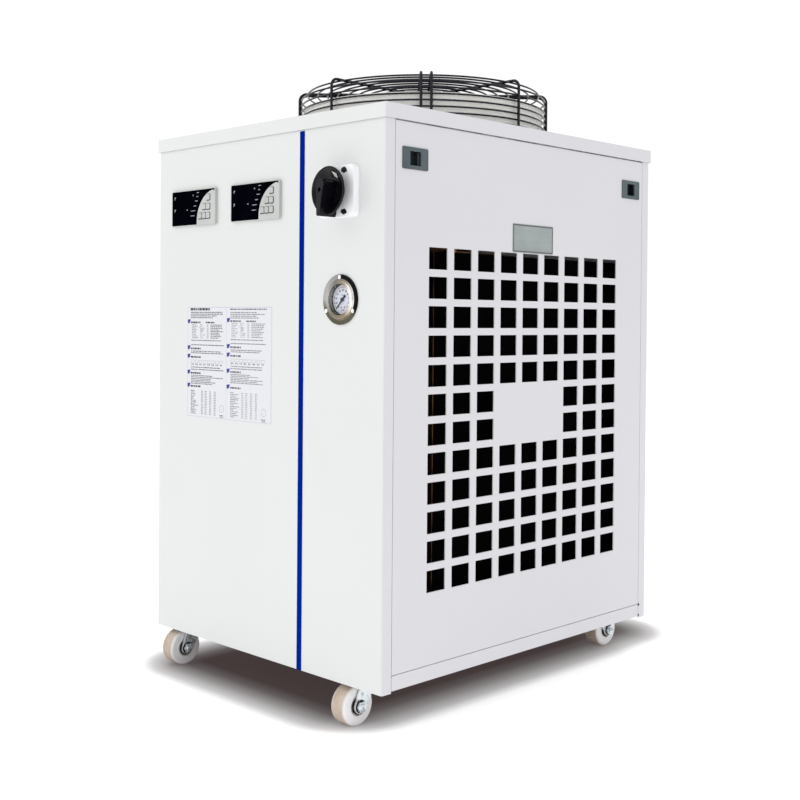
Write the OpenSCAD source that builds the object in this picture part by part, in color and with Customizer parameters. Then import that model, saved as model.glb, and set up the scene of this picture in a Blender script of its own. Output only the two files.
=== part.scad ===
// Recirculating chiller on casters: a folded sheet cabinet with a top fan in a wire guard,
// a side air grille with the condenser behind it, two controllers, a rotary isolator and
// a pressure gauge on the front, and the water fittings on the rear.
// +Z is up, the front faces -Y, the grille faces +X, the origin is on the floor.

/* [Cabinet] */
// Width of the cabinet across the side panels
body_w = 465; // [440:1:520]
// Depth of the cabinet over the front and rear panels
body_d = 556; // [520:1:620]
// Height from the bottom edge of the front panel to the top of the lid
body_h = 700; // [640:1:780]
// Height of the cabinet's bottom edge above the floor
ground_gap = 53; // [52:0.5:60]
// Thickness of the folded sheets
sheet = 1.5; // [1:0.1:2]
// Outer radius of the folded vertical corners
fold_r = 3; // [2.5:0.1:5]
// How far the front panel wraps round onto each side
front_return = 15.5; // [12:0.5:20]
// How far the rear panel wraps round onto each side
rear_return = 18; // [14:0.5:24]
// Depth of the flanges along the top of the front and rear panels
top_flange = 22; // [18:1:28]

/* [Lid] */
// How far the lid stands proud of the cabinet on every side
lid_over = 2.5; // [1.8:0.1:5]
// Height of the lid's skirt
lid_skirt = 18; // [12:0.5:26]

/* [Base pan] */
// Visible height of the base pan's side flanges
rail_h = 18; // [16:0.5:22]
// How far the flanges stop above the front panel's bottom edge
rail_lift = 2.4; // [1:0.1:4]

/* [Side panels] */
// Gap between a side panel and its neighbours
seam = 0.8; // [0.5:0.1:1.2]
// Depth of the side panels' folded edges
panel_edge = 12; // [9:0.5:13]
// Gap between a side panel's top edge and the lid's skirt
panel_drop = 1.5; // [1:0.1:3]
// Columns of air holes
grille_cols = 9; // [4:1:9]
// Rows of air holes
grille_rows = 12; // [4:1:12]
// Width of one air hole
hole_w = 33.3; // [20:0.1:40]
// Height of one air hole
hole_h = 26.9; // [16:0.1:32]
// Spacing of the columns
col_pitch = 45.4; // [42:0.1:46]
// Spacing of the rows
row_pitch = 36; // [33:0.1:37]
// Distance of the first column from the front of the lid
grille_in = 78; // [70:0.5:84]
// Distance of the top row below the top of the lid
grille_down = 167; // [150:0.5:180]
// First column of the closed field in the grille
blank_col = 4; // [2:1:7]
// Columns in the closed field
blank_cols = 3; // [1:1:4]
// First row of the closed field, counted from the top
blank_row = 6; // [2:1:11]
// Rows in the closed field
blank_rows = 2; // [1:1:4]

/* [Fan outlet] */
// How far the fan stands behind the middle of the lid
fan_back = 28; // [10:1:40]
// Outer radius of the air collar
collar_r = 176; // [160:1:178]
// Height of the collar above the lid
collar_h = 51; // [40:1:56]
// Sheet thickness of the collar
collar_t = 2; // [1.5:0.1:3]
// Width of the collar's foot flange outside its wall
collar_foot = 4; // [3:0.5:5]
// Gap between the collar's foot and the guard's upright wires
guard_gap = 1; // [0.6:0.1:5]
// Height of the guard above the lid
guard_h = 79; // [70:1:85]
// Diameter of the guard's rib wires
rib_wire = 4; // [3:0.2:5]
// Diameter of the guard's ring wires
ring_wire = 2.4; // [2:0.1:3]
// Number of rings round the guard's side
side_rings = 8; // [4:1:8]
// Number of rings on the guard's top
top_rings = 9; // [4:1:9]
// Spacing of the two wires in each diagonal pair
pair_gap = 14; // [10:0.5:20]
// Bend radius of the rib wires at the guard's top
rib_bend = 10; // [6:0.5:14]
// Radius of the guard's centre plate
hub_plate_r = 46; // [44:1:54]
// Gap between the fan blades' tips and the collar
tip_gap = 6; // [3:0.5:20]
// Number of fan blades
blade_count = 5; // [3:1:7]
// Pitch angle of the fan blades
blade_pitch = 24; // [20:1:32]
// Thickness of the fan blades
blade_t = 2; // [1.5:0.1:3]
// Outer radius of the fan's rotor
rotor_r = 51; // [48:1:58]
// Height of the fan's rotor
rotor_h = 58; // [50:1:66]

/* [Front panel fittings] */
// Distance of the blue strip from the right edge of the lid
stripe_in = 152; // [140:0.5:160]
// Width of the blue strip
stripe_w = 8.7; // [6:0.1:12]
// Thickness of the blue strip
stripe_t = 0.6; // [0.4:0.1:1]
// Distance of the right controller's middle from the right edge of the lid
ctrl_right_in = 243.5; // [225:0.5:250]
// Distance between the two controllers' middles
ctrl_pitch = 136.5; // [115:0.5:145]
// Distance of the controllers' middles below the top of the lid
ctrl_down = 102.3; // [90:0.5:110]
// Width of a controller's bezel
ctrl_w = 102; // [96:0.5:106]
// Height of a controller's bezel
ctrl_h = 50.5; // [48:0.5:54]
// How far a bezel stands out from the panel
ctrl_t = 4; // [3.4:0.1:6]
// Depth of a controller's housing behind the panel
ctrl_depth = 60; // [40:1:70]
// Edge length of a key
key_w = 7.8; // [6:0.1:8.2]
// Horizontal spacing of the keys
key_dx = 9.3; // [9.1:0.1:9.6]
// Vertical spacing of the keys
key_dz = 12.5; // [10:0.1:12.6]
// How far the keys stand out from the bezel
key_proud = 0.8; // [0.7:0.1:1.5]
// How far a key travels
key_travel = 0.6; // [0.3:0.1:0.6]
// Distance of the switch and gauge from the right edge of the lid
right_group_in = 78.5; // [76:0.5:90]
// Distance of the switch's middle below the top of the lid
switch_down = 101; // [90:0.5:105]
// Edge length of the switch plate
switch_w = 62.5; // [60:0.5:68]
// Thickness of the switch plate
switch_t = 9.5; // [9:0.5:14]
// Diameter of the switch knob
knob_d = 59; // [56:0.5:60]
// How far the knob stands out from its plate
knob_h = 27; // [24:0.5:32]
// Radius of the knob's shaft
knob_shaft_r = 4; // [3:0.1:5]
// How far the knob is turned from upright, clockwise
knob_turn = 4.5; // [0:0.5:8]
// Distance of the gauge's middle below the top of the lid
gauge_down = 232; // [220:0.5:245]
// Diameter of the gauge's flange
gauge_d = 61.5; // [58:0.5:66]
// Diameter of the gauge's dial opening
dial_d = 38; // [36:0.5:41]
// Height of the gauge's bezel above the panel
gauge_t = 4; // [3.5:0.5:6]

/* [Latches] */
// Length of a latch plate
latch_w = 44; // [42:0.5:48]
// Height of a latch plate
latch_h = 26.5; // [25:0.5:30]
// Distance of the latches' middles below the top of the lid
latch_down = 62.3; // [58:0.5:80]
// Distance of the latches' middles from the panel ends of the lid
latch_in = 52; // [50:0.5:60]
// How far a latch's grip travels
latch_travel = 6; // [4:0.5:6.5]

/* [Casters] */
// Diameter of a wheel
wheel_d = 50; // [46:0.5:50.5]
// Width of a wheel
wheel_w = 24; // [20:0.5:26]
// How far the right-hand swivels stand in from the cabinet's side
caster_right = 69.5; // [52.5:0.5:82.5]
// How far the left-hand swivels stand in from the cabinet's side
caster_left = 35.5; // [34.5:0.5:52.5]
// How far the swivels stand in from the cabinet's front and rear
caster_y = 41; // [38:0.5:53]
// Offset of a wheel's axle from its swivel axis
trail = 24; // [20:0.5:26]
// Radius of the axles and king pins
pin_r = 4; // [3:0.1:4.5]

/* [Inside] */
// Thickness of the condenser's fin pack
cond_t = 40; // [30:1:44]
// Height of the condenser
cond_h = 480; // [440:5:500]
// Spacing of the fins
fin_pitch = 5; // [4:0.5:8]
// Height of the water tank
tank_h = 300; // [240:5:340]
// Height of the compressor
comp_h = 240; // [200:5:280]
// Radius of the compressor shell
comp_r = 60; // [50:1:64]

/* [Rear fittings] */
// How far the water ports stand out from the rear panel
port_reach = 38; // [30:0.5:45]
// Radius of the water ports' bores
port_bore_r = 9.3; // [8:0.1:10]
// Outer radius of the water ports
port_r = 13; // [12:0.1:14]
// Spacing of the water ports
port_pitch = 60; // [52:1:64]
// Radius of the filler cap
cap_r = 30; // [27:0.5:34]
// Length of the level gauge
level_h = 150; // [120:5:180]
// Radius of the cable gland's bore
gland_bore_r = 6; // [4:0.1:7]

/* [Hidden] */
$fn = 64;

// Clearances between pieces that rest, turn, slide or pass through each other
rest_gap = 0.3;
run_gap = 0.05;
slide_gap = 0.25;
fit_gap = 0.5;

// How far parts of one solid reach into each other, and cuts pass their faces
sink = 0.1;
past = 1;

// Faces of the cabinet
side_x = body_w / 2;
front_y = -body_d / 2;
rear_y = body_d / 2;
bottom_z = ground_gap;
top_z = bottom_z + body_h;
lid_z = top_z - sheet;
skirt_z = top_z - lid_skirt;
lid_half_w = side_x + lid_over;
lid_front_y = front_y - lid_over;
rail_z = bottom_z + rail_lift;
floor_z = rail_z + rail_h;
pan_under_z = floor_z - sheet;
inner_front_y = front_y + sheet;
inner_rear_y = rear_y - sheet;
inner_x = side_x - sheet;

// Side panels
panel_z0 = floor_z + seam;
panel_z1 = skirt_z - panel_drop;
panel_y0 = front_y + front_return + seam;
panel_y1 = rear_y - rear_return - seam;
grille_y = lid_front_y + grille_in + hole_w / 2;
grille_z = top_z - grille_down - hole_h / 2;

// Top rails
rail_flange = 20;

// Fan
fan_y = fan_back;
collar_in_r = collar_r - collar_t;
rib_r = rib_wire / 2;
ring_r = ring_wire / 2;
weld = 0.2;
guard_r = collar_r + collar_foot + guard_gap + rib_r;
side_ring_r = guard_r - rib_r - ring_r + weld;
side_z0 = 5;
bend_margin = 2;
side_pitch = (guard_h - rib_r - rib_bend - side_z0 - bend_margin) / (side_rings - 1);
top_ring_r0 = guard_r - rib_bend - bend_margin;
hub_margin = 8;
top_pitch = (top_ring_r0 - hub_plate_r - hub_margin) / (top_rings - 1);
rib_seat = 12;
rib_in_r = hub_plate_r - rib_seat;
rib_rise = guard_h - rib_r - rib_bend;
bead_r = 2.5;
foot_w = 14;
foot_margin = 5;
foot_l = pair_gap + 2 * foot_margin;
foot_screw_r = guard_r + rib_r + foot_margin;
rib_top_z = top_z + guard_h - rib_r;
motor_plate_t = 2.5;
motor_plate_z = rib_top_z - rib_r - motor_plate_t;
motor_flange_t = 4;
rotor_drop = 2;
rotor_z1 = motor_plate_z - motor_flange_t - rotor_drop;
rotor_z0 = rotor_z1 - rotor_h;
rotor_wall = 8;
stator_gap = 3;
motor_shaft_r = 6;
blade_r = collar_in_r - tip_gap;
blade_drop = 15;
blade_z = rotor_z0 + rotor_h / 2 - blade_drop;
blade_root_angle = 30;
blade_tip_angle = 20;
blade_sweep = 12;

// Front fittings
stripe_x = lid_half_w - stripe_in;
ctrl_right_x = lid_half_w - ctrl_right_in;
ctrl_left_x = ctrl_right_x - ctrl_pitch;
ctrl_z = top_z - ctrl_down;
right_group_x = lid_half_w - right_group_in;
switch_z = top_z - switch_down;
gauge_z = top_z - gauge_down;
ctrl_lip_x = 5;
ctrl_lip_z = 3;
ctrl_can_w = ctrl_w - 2 * ctrl_lip_x;
ctrl_can_h = ctrl_h - 2 * ctrl_lip_z;
ctrl_corner = 3;
face_t = 2;
key_corner = 1.5;
key_flange = 0.5;
key_flange_t = 1;
key_spare = 0.4;
key_pocket = key_flange_t + key_travel + rest_gap + key_spare;
key_x = 35;
key_z = -12.3;
window_side = 4;
window_corner = 2;
window_gap = 0.1;
key_grid = [[0, 2], [-1, 1], [0, 1], [-2, 0], [-1, 0], [0, 0]];
window_r = 43.2;
window_cx = 52;
window_cz = -20.5;
window_margin = 1.3;
window_t = 1.2;
switch_screw_x = 14;
switch_screw_z = 25;
switch_screws = [for (x = [-switch_screw_x, switch_screw_x], y = [-switch_screw_z, switch_screw_z]) [x, y]];
switch_neck_in = 12;
switch_neck_r = switch_w / 2 - switch_neck_in;
switch_can_in = 9;
switch_can_w = switch_w - 2 * switch_can_in;
switch_can_d = 40;
shaft_depth = 25;
head_depth = 2;
knob_r = knob_d / 2;
gauge_r = gauge_d / 2;
dial_r = dial_d / 2;
gauge_can_r = dial_r + 2;
bezel_r = gauge_can_r + 3;
bezel_edge = 1.5;
flange_t = 1.8;
gauge_angles = [90, 210, 330];
gauge_depth = 26;
dial_seat = -4;
dial_t = 0.8;
lens_z = 1;
lens_t = 1.5;
lens_lip = 1;
needle_shaft_r = 0.8;
needle_z = dial_seat + dial_t + 0.8;
needle_angle = 135;
gauge_screw_r = (gauge_r + bezel_r) / 2;

// Latches
latch_z = top_z - latch_down;
latch_front_y = lid_front_y + latch_in;
latch_rear_y = -lid_front_y - latch_in;
latch_plate_t = 1.2;
latch_window = 19;
latch_window_h = latch_window - 2;
latch_pocket_d = 11;
latch_wall = 1.5;
latch_spare = 1.5;
latch_can_w = latch_window + 2 * (latch_travel + latch_wall + latch_spare);
latch_lip = 2.5;
latch_can_h = latch_h - 2 * latch_lip;
grip_w = 4;
latch_face_t = 0.8;
bolt_floor = -latch_pocket_d + latch_wall + rest_gap;
bolt_gap = 1;
bolt_depth = 2 * bolt_gap - bolt_floor;
bolt_t = 3;
bolt_h = 12;
bolt_hook = latch_travel - fit_gap;
grip_top = -latch_face_t - rest_gap;

// Screws
screw_r = 1.6;
screw_hole_r = 1.7;
screw_head_r = 3.4;
gauge_head_r = 2.5;
panel_screw_in = 6;
panel_screw_ends = 60;
panel_screws = [for (y = [panel_y0 + panel_screw_in, panel_y1 - panel_screw_in],
    z = [panel_z0 + panel_screw_ends, (panel_z0 + panel_z1) / 2, panel_z1 - panel_screw_ends]) [y, z]];

// Casters
wheel_r = wheel_d / 2;
plate_t = 2.5;
race_h = 5;
race_r = 17;
fork_t = 2.5;
fork_gap = 1.6;
fork_half = wheel_w / 2 + fork_gap;
fork_top_z = pan_under_z - plate_t - race_h - rest_gap;
king_head_r = pin_r + 2.5;
king_head_t = 1.5;
king_gap = 0.2;
king_z = pan_under_z - plate_t - king_gap;
caster_plate_w = 56;
caster_plate_l = 62;
caster_corner = 6;
fork_end_r = 9;
fork_back = 12;
fork_fore = 18;
fork_crown = 3;
nut_r = 7;
nut_h = 4;
axle_half = fork_half + fork_t + 6;
hub_wall = 3;
hub_proud = 1;
groove_w = 5;
groove_depth = 2;
shoulder = 4;
caster_spots = [for (y = [caster_y - body_d / 2, body_d / 2 - caster_y], x = [side_x - caster_right,
                caster_left - side_x]) [x, y]];

// Inside
cond_in = 12;
cond_x1 = inner_x - panel_edge - cond_in;
cond_x0 = cond_x1 - cond_t;
cond_plate_t = 1.5;
cond_plate_lip = 3;
cond_y0 = grille_y + hole_w / 2;
cond_rear_gap = 48;
cond_y1 = rear_y - cond_rear_gap;
cond_rise = 30;
cond_z0 = floor_z + cond_rise;
cond_z1 = cond_z0 + cond_h;
tube_r = 4.8;
tube_rows = 9;
tube_pitch = cond_h / tube_rows;
fin_t = 1;
fin_depth = 7;
bend_stub = 8;
pipe_r = 5;
comp_dome = 22;
tank_w = 176;
tank_x0 = -side_x + panel_edge + 4;
tank_x1 = tank_x0 + tank_w;
tank_y0 = 20;
tank_y1 = rear_y - 14;
tank_band = 2;
tank_face = rear_y - tank_y1 - rest_gap;
comp_x = (tank_x1 + cond_x0) / 2;
comp_y = 110;
comp_foot = 18;
comp_stub_x = comp_r / 2;
comp_stub_h = 12;
pump_r = 48;
pump_y0 = front_y + 50;
pump_len = 190;
pump_pitch = 124;
pump_rise = 14;
main_pump_x = tank_x0 + pump_pitch / 2;
second_pump_x = main_pump_x + pump_pitch;
box_x0 = tank_x0;
box_x1 = stripe_x + 12;
box_drop = 76;
box_z0 = ctrl_z - box_drop;
box_z1 = lid_z - top_flange;
box_spare = 22;
box_depth = ctrl_depth + box_spare;

// Rear fittings
port_up = 250;
port_z = bottom_z + port_up;
port_x = 40;
port_xs = [for (i = [0:3]) port_x + (i - 1.5) * port_pitch];
hex_rim = 6;
hex_r = port_r + hex_rim;
hex_t = 8;
nut_t = 6;
port_tail = 6;
fill_x = -130;
fill_down = 120;
fill_z = top_z - fill_down;
neck_in = 7;
neck_r = cap_r - neck_in;
neck_wall = 4;
neck_reach = 20;
neck_depth = 30;
neck_flange_t = 3;
level_x = -190;
level_up = 190;
level_z = bottom_z + level_up;
level_stub_r = 5;
level_stub_in = 14;
level_stubs = level_h / 2 - level_stub_in;
drain_x = -130;
drain_up = 36;
drain_z = floor_z + drain_up;
valve_r = 10;
valve_z = 18;
stem_r = 2;
gland_x = 175;
gland_z = top_z - 120;
gland_r = 11;

// A rounded rectangle in the plane, centred on the origin
module round_rect(w, h, r) {
    square([w - 2 * r, h], center = true);
    square([w, h - 2 * r], center = true);
    for (x = [-1, 1], y = [-1, 1]) translate([x * (w / 2 - r), y * (h / 2 - r)]) circle(r = r);
}

// Puts its children on the front panel: x to the right, y up, z out of the panel
module on_front(x, z) translate([x, front_y, z]) rotate([90, 0, 0]) children();

// Puts its children on the rear panel: z out of the panel, y up
module on_rear(x, z) translate([x, rear_y, z]) rotate([90, 0, 180]) children();

// Puts its children on the right panel: z out of the panel, y up, x to the rear
module on_right(y, z) translate([side_x, y, z]) rotate([90, 0, 90]) children();

// A round rod along z
module rod(r, z0, z1) translate([0, 0, z0]) cylinder(r = r, h = z1 - z0);

// A ring of wire about z, its section twelve-sided with flats to the sides and the top
module wire_ring(r, z, wire) translate([0, 0, z]) rotate_extrude($fn = 128)
    translate([r, 0]) rotate(15) circle(r = wire / cos(15), $fn = 12);

// The cabinet's outline from above, with folded corners
module cabinet_outline(inset) round_rect(body_w - 2 * inset, body_d - 2 * inset, fold_r - inset);

// A wrap-round panel seen from above: the cabinet's skin between two y values
module wrap_outline(y0, y1) intersection() {
    difference() {
        cabinet_outline(0);
        cabinet_outline(sheet);
    }
    translate([-side_x - past, y0]) square([body_w + 2 * past, y1 - y0]);
}

// A round hole through a sheet panel, on its outer face
module face_hole(r) rod(r, -sheet - past, past);

// A rectangular hole through a sheet panel, centred on its outer face
module face_slot(w, h) translate([0, 0, -sheet - past]) linear_extrude(sheet + 2 * past)
    square([w, h], center = true);

module base_pan() color([0.88, 0.88, 0.9]) {
    y0 = front_y + front_return + seam;
    y1 = rear_y - rear_return - seam;
    difference() {
        union() {
            translate([-side_x, y0, rail_z]) cube([body_w, y1 - y0, rail_h]);
            translate([-inner_x + rest_gap, inner_front_y + rest_gap, pan_under_z])
                cube([2 * (inner_x - rest_gap), body_d - 2 * (sheet + rest_gap), sheet]);
        }
        translate([-inner_x, front_y, rail_z - past]) cube([2 * inner_x, body_d, rail_h + past - sheet]);
    }
}

module front_panel() color([0.93, 0.93, 0.94]) difference() {
    union() {
        translate([0, 0, bottom_z]) linear_extrude(lid_z - bottom_z)
            wrap_outline(front_y, front_y + front_return);
        translate([-inner_x, inner_front_y - sink, lid_z - sheet])
            cube([2 * inner_x, top_flange + sink, sheet]);
    }
    for (x = [ctrl_left_x, ctrl_right_x]) on_front(x, ctrl_z)
        face_slot(ctrl_can_w + 2 * fit_gap, ctrl_can_h + 2 * fit_gap);
    on_front(right_group_x, switch_z) {
        face_hole(switch_neck_r);
        for (s = switch_screws) translate(s) face_hole(screw_hole_r + fit_gap);
    }
    on_front(right_group_x, gauge_z) {
        face_hole(gauge_can_r + fit_gap);
        for (a = gauge_angles) rotate(a) translate([gauge_screw_r, 0]) face_hole(screw_hole_r);
    }
}

module rear_panel() color([0.9, 0.9, 0.92]) difference() {
    union() {
        translate([0, 0, bottom_z]) linear_extrude(lid_z - bottom_z)
            wrap_outline(rear_y - rear_return, rear_y);
        translate([-inner_x, inner_rear_y - top_flange, lid_z - sheet])
            cube([2 * inner_x, top_flange + sink, sheet]);
    }
    for (x = port_xs) on_rear(x, port_z) face_hole(port_r + fit_gap);
    on_rear(fill_x, fill_z) face_hole(neck_r + fit_gap);
    on_rear(drain_x, drain_z) face_hole(valve_r + fit_gap);
    on_rear(gland_x, gland_z) face_hole(gland_r + fit_gap);
    for (s = [-1, 1]) on_rear(level_x, level_z + s * level_stubs) face_hole(level_stub_r + fit_gap);
}

// The side panels' folded pan, on the right-hand side
module panel_pan() difference() {
    translate([side_x - panel_edge, panel_y0, panel_z0])
        cube([panel_edge, panel_y1 - panel_y0, panel_z1 - panel_z0]);
    translate([side_x - panel_edge - past, panel_y0 + sheet, panel_z0 + sheet])
        cube([panel_edge + past - sheet, panel_y1 - panel_y0 - 2 * sheet, panel_z1 - panel_z0 - 2 * sheet]);
}

function closed_hole(c, r) = c >= blank_col - 1 && c < blank_col - 1 + blank_cols
    && r >= blank_row - 1 && r < blank_row - 1 + blank_rows;

// The grille's holes, with the closed field left out
module grille_holes() on_right(0, 0) translate([0, 0, -sheet - past]) linear_extrude(sheet + 2 * past)
    for (c = [0:grille_cols - 1], r = [0:grille_rows - 1])
        if (!closed_hole(c, r)) translate([grille_y + c * col_pitch, grille_z - r * row_pitch])
            square([hole_w, hole_h], center = true);

module right_panel() color([0.88, 0.88, 0.9]) difference() {
    panel_pan();
    grille_holes();
    for (y = [latch_front_y, latch_rear_y]) on_right(y, latch_z)
        face_slot(latch_can_w + 2 * slide_gap, latch_can_h + 2 * slide_gap);
    for (y = [panel_y0 - past, panel_y1 - sheet - past])
        translate([side_x - bolt_depth, y, latch_z - bolt_h / 2 - bolt_gap])
            cube([bolt_depth - sheet, sheet + 2 * past, bolt_h + 2 * bolt_gap]);
}

module left_panel() color([0.88, 0.88, 0.9]) difference() {
    mirror([1, 0, 0]) panel_pan();
    for (s = panel_screws) translate([-side_x, s[0], s[1]]) rotate([0, -90, 0]) face_hole(screw_hole_r);
}

module top_cover() color([0.92, 0.92, 0.93]) difference() {
    translate([0, 0, skirt_z]) linear_extrude(lid_skirt)
        round_rect(2 * lid_half_w, -2 * lid_front_y, fold_r);
    translate([0, 0, skirt_z - past]) linear_extrude(lid_skirt + past - sheet)
        round_rect(2 * (lid_half_w - sheet), -2 * (lid_front_y + sheet), fold_r - sheet);
    translate([0, fan_y, top_z]) {
        face_hole(collar_in_r);
        for (a = [45:90:315]) rotate(a) translate([foot_screw_r, 0]) face_hole(screw_hole_r);
    }
}

module top_rail() {
    y0 = inner_front_y + rest_gap;
    length = inner_rear_y - inner_front_y - 2 * rest_gap;
    x1 = inner_x - rest_gap;
    z0 = panel_z1 + rest_gap;
    z1 = lid_z - sheet - rest_gap;
    translate([x1 - sheet, y0, z0]) cube([sheet, length, z1 - z0]);
    translate([x1 - rail_flange, y0, z1 - sheet]) cube([rail_flange, length, sheet]);
}

module top_rails() color([0.6, 0.61, 0.63]) {
    top_rail();
    mirror([1, 0, 0]) top_rail();
}

module fan_collar() color([0.93, 0.91, 0.84]) translate([0, fan_y, top_z]) rotate_extrude($fn = 128) {
    translate([collar_in_r, 0]) square([collar_t + collar_foot, sheet]);
    translate([collar_in_r, 0]) square([collar_t, collar_h - bead_r]);
    translate([collar_r - collar_t / 2, collar_h - bead_r]) circle(r = bead_r);
}

// One rib wire: up from the lid, round a bend and in to the centre plate
module guard_rib(r, y) {
    translate([r, y]) rod(rib_r, 0, rib_rise);
    translate([r - rib_bend, y, rib_rise]) rotate([90, 0, 0]) rotate_extrude(angle = 90)
        translate([rib_bend, 0]) circle(r = rib_r);
    translate([rib_in_r, y, rib_rise + rib_bend]) rotate([90, 0, 90])
        rod(rib_r, 0, r - rib_bend - rib_in_r);
}

// A screw foot under a pair of rib wires
module guard_foot() difference() {
    translate([guard_r - rib_r, -foot_l / 2]) cube([foot_w, foot_l, sheet]);
    translate([foot_screw_r, 0]) rod(screw_hole_r, -past, sheet + past);
}

module fan_guard() color([0.13, 0.13, 0.15]) translate([0, fan_y, top_z]) {
    for (i = [0:side_rings - 1]) wire_ring(side_ring_r, side_z0 + i * side_pitch, ring_r);
    for (i = [0:top_rings - 1])
        wire_ring(top_ring_r0 - i * top_pitch, guard_h - 2 * rib_r - ring_r + weld, ring_r);
    for (a = [0:90:270]) {
        rotate(a) guard_rib(guard_r, 0);
        rotate(a + 45) {
            for (s = [-1, 1]) guard_rib(sqrt(pow(guard_r, 2) - pow(pair_gap / 2, 2)), s * pair_gap / 2);
            guard_foot();
        }
    }
    rod(hub_plate_r, guard_h - 2 * rib_r - motor_plate_t, guard_h - 2 * rib_r + weld);
}

module fan_motor() color([0.2, 0.2, 0.22]) translate([0, fan_y]) {
    stator_z = rotor_z0 + 2 * rotor_wall;
    flange_z = motor_plate_z - motor_flange_t;
    rod(hub_plate_r - 2, flange_z, motor_plate_z);
    rod(rotor_r - rotor_wall - stator_gap, stator_z, flange_z + sink);
    rod(motor_shaft_r, rotor_z0, stator_z + sink);
}

// One fan blade: a pitched plate cut to the blade's outline from above
module fan_blade() intersection() {
    root_r = rotor_r - 6;
    corner_r = 1.1 * blade_r;
    half_h = 60;
    translate([0, 0, blade_z - half_h]) linear_extrude(2 * half_h) intersection() {
        difference() {
            circle(r = blade_r, $fn = 128);
            circle(r = rotor_r - past);
        }
        polygon([for (p = [[root_r, -blade_root_angle], [corner_r, blade_sweep - blade_tip_angle],
            [corner_r, blade_sweep + blade_tip_angle], [root_r, blade_root_angle]])
            p[0] * [cos(p[1]), sin(p[1])]]);
    }
    translate([0, 0, blade_z]) rotate(blade_sweep) rotate([blade_pitch, 0, 0])
        translate([0, -blade_r, -blade_t / 2]) cube([corner_r, 2 * blade_r, blade_t]);
}

module fan_impeller() color([0.17, 0.17, 0.18]) translate([0, fan_y]) {
    difference() {
        rod(rotor_r, rotor_z0, rotor_z1);
        rod(rotor_r - rotor_wall, rotor_z0 + rotor_wall, rotor_z1 + past);
        rod(motor_shaft_r + run_gap, rotor_z0 - past, rotor_z1);
    }
    for (i = [0:blade_count - 1]) rotate(i * 360 / blade_count) fan_blade();
}

module condenser_fins() color([0.16, 0.16, 0.17]) translate([0, 0, cond_z0]) linear_extrude(cond_h) {
    translate([cond_x0 + fin_depth, cond_y0]) square([cond_t - 2 * fin_depth, cond_y1 - cond_y0]);
    for (y = [cond_y0:fin_pitch:cond_y1 - fin_t]) translate([cond_x0, y]) square([cond_t, fin_t]);
}

// One return bend of the condenser's tube, standing off an end plate along y
module return_bend() translate([0, -sink, 0]) {
    for (z = [-1, 1]) translate([0, 0, z * tube_pitch / 4]) rotate([-90, 0, 0])
        rod(tube_r, 0, bend_stub + sink);
    translate([0, bend_stub + sink, 0]) rotate([0, 90, 0]) rotate_extrude(angle = 180, $fn = 48)
        translate([tube_pitch / 4, 0]) circle(r = tube_r);
}

module condenser_coil() color([0.72, 0.45, 0.3]) {
    for (y = [cond_y0 - cond_plate_t, cond_y1]) translate([cond_x0 - cond_plate_lip, y, floor_z])
        cube([cond_t + 2 * cond_plate_lip, cond_plate_t, cond_z1 - floor_z]);
    for (i = [0:tube_rows - 1]) translate([cond_x0 + cond_t / 2, 0, cond_z0 + (i + 0.5) * tube_pitch]) {
        translate([0, cond_y1 + cond_plate_t, 0]) return_bend();
        translate([0, cond_y0 - cond_plate_t, 0]) mirror([0, 1, 0]) return_bend();
    }
}

// A domed can: a straight wall closed by a shallow spherical cap at each end
module domed_can(r, h, dome) rotate_extrude($fn = 96) {
    dome_r = (pow(r, 2) + pow(dome, 2)) / (2 * dome);
    translate([0, dome]) square([r, h - 2 * dome]);
    for (s = [0, 1]) translate([0, s * h]) mirror([0, s]) intersection() {
        translate([0, dome_r]) circle(r = dome_r, $fn = 256);
        square([r, dome]);
    }
}

module compressor() color([0.1, 0.1, 0.11]) translate([comp_x, comp_y, floor_z]) {
    foot_r = 9;
    foot_at = comp_r - 8;
    plate_t = 3;
    skirt_r = 0.55 * comp_r;
    terminal_r = 14;
    terminal_h = 4;
    shoulder_z = comp_foot + comp_h - comp_dome;
    top = comp_foot + comp_h;
    for (x = [-1, 1], y = [-1, 1]) translate([x, y] * foot_at) rod(foot_r, 0, comp_foot + sink);
    translate([-comp_r, -comp_r, comp_foot]) cube([2 * comp_r, 2 * comp_r, plate_t]);
    translate([0, 0, comp_foot]) domed_can(comp_r, comp_h, comp_dome);
    rod(skirt_r, comp_foot, comp_foot + comp_dome);
    translate([0, -0.4 * comp_r]) rod(terminal_r, shoulder_z, top + terminal_h);
    translate([comp_stub_x, 0]) rod(pipe_r + 2, shoulder_z, top + comp_stub_h);
}

// The discharge pipe: up from the compressor, forward, across and down on the condenser
module refrigerant_pipes() color([0.75, 0.46, 0.3]) {
    x0 = comp_x + comp_stub_x;
    x1 = cond_x0 + cond_t / 2;
    y0 = comp_y;
    y1 = cond_y0 + 60;
    z0 = floor_z + comp_foot + comp_h + comp_stub_h;
    z1 = cond_z1 - tube_pitch / 4 + 20;
    translate([x0, y0]) rod(pipe_r, z0, z1);
    translate([x0, y0, z1]) sphere(r = pipe_r);
    translate([x0, y1, z1]) rotate([-90, 0, 0]) rod(pipe_r, 0, y0 - y1);
    translate([x0, y1, z1]) sphere(r = pipe_r);
    translate([x0, y1, z1]) rotate([0, 90, 0]) rod(pipe_r, 0, x1 - x0);
    translate([x1, y1, z1]) sphere(r = pipe_r);
    translate([x1, y1]) rod(pipe_r, cond_z1, z1);
}

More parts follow.
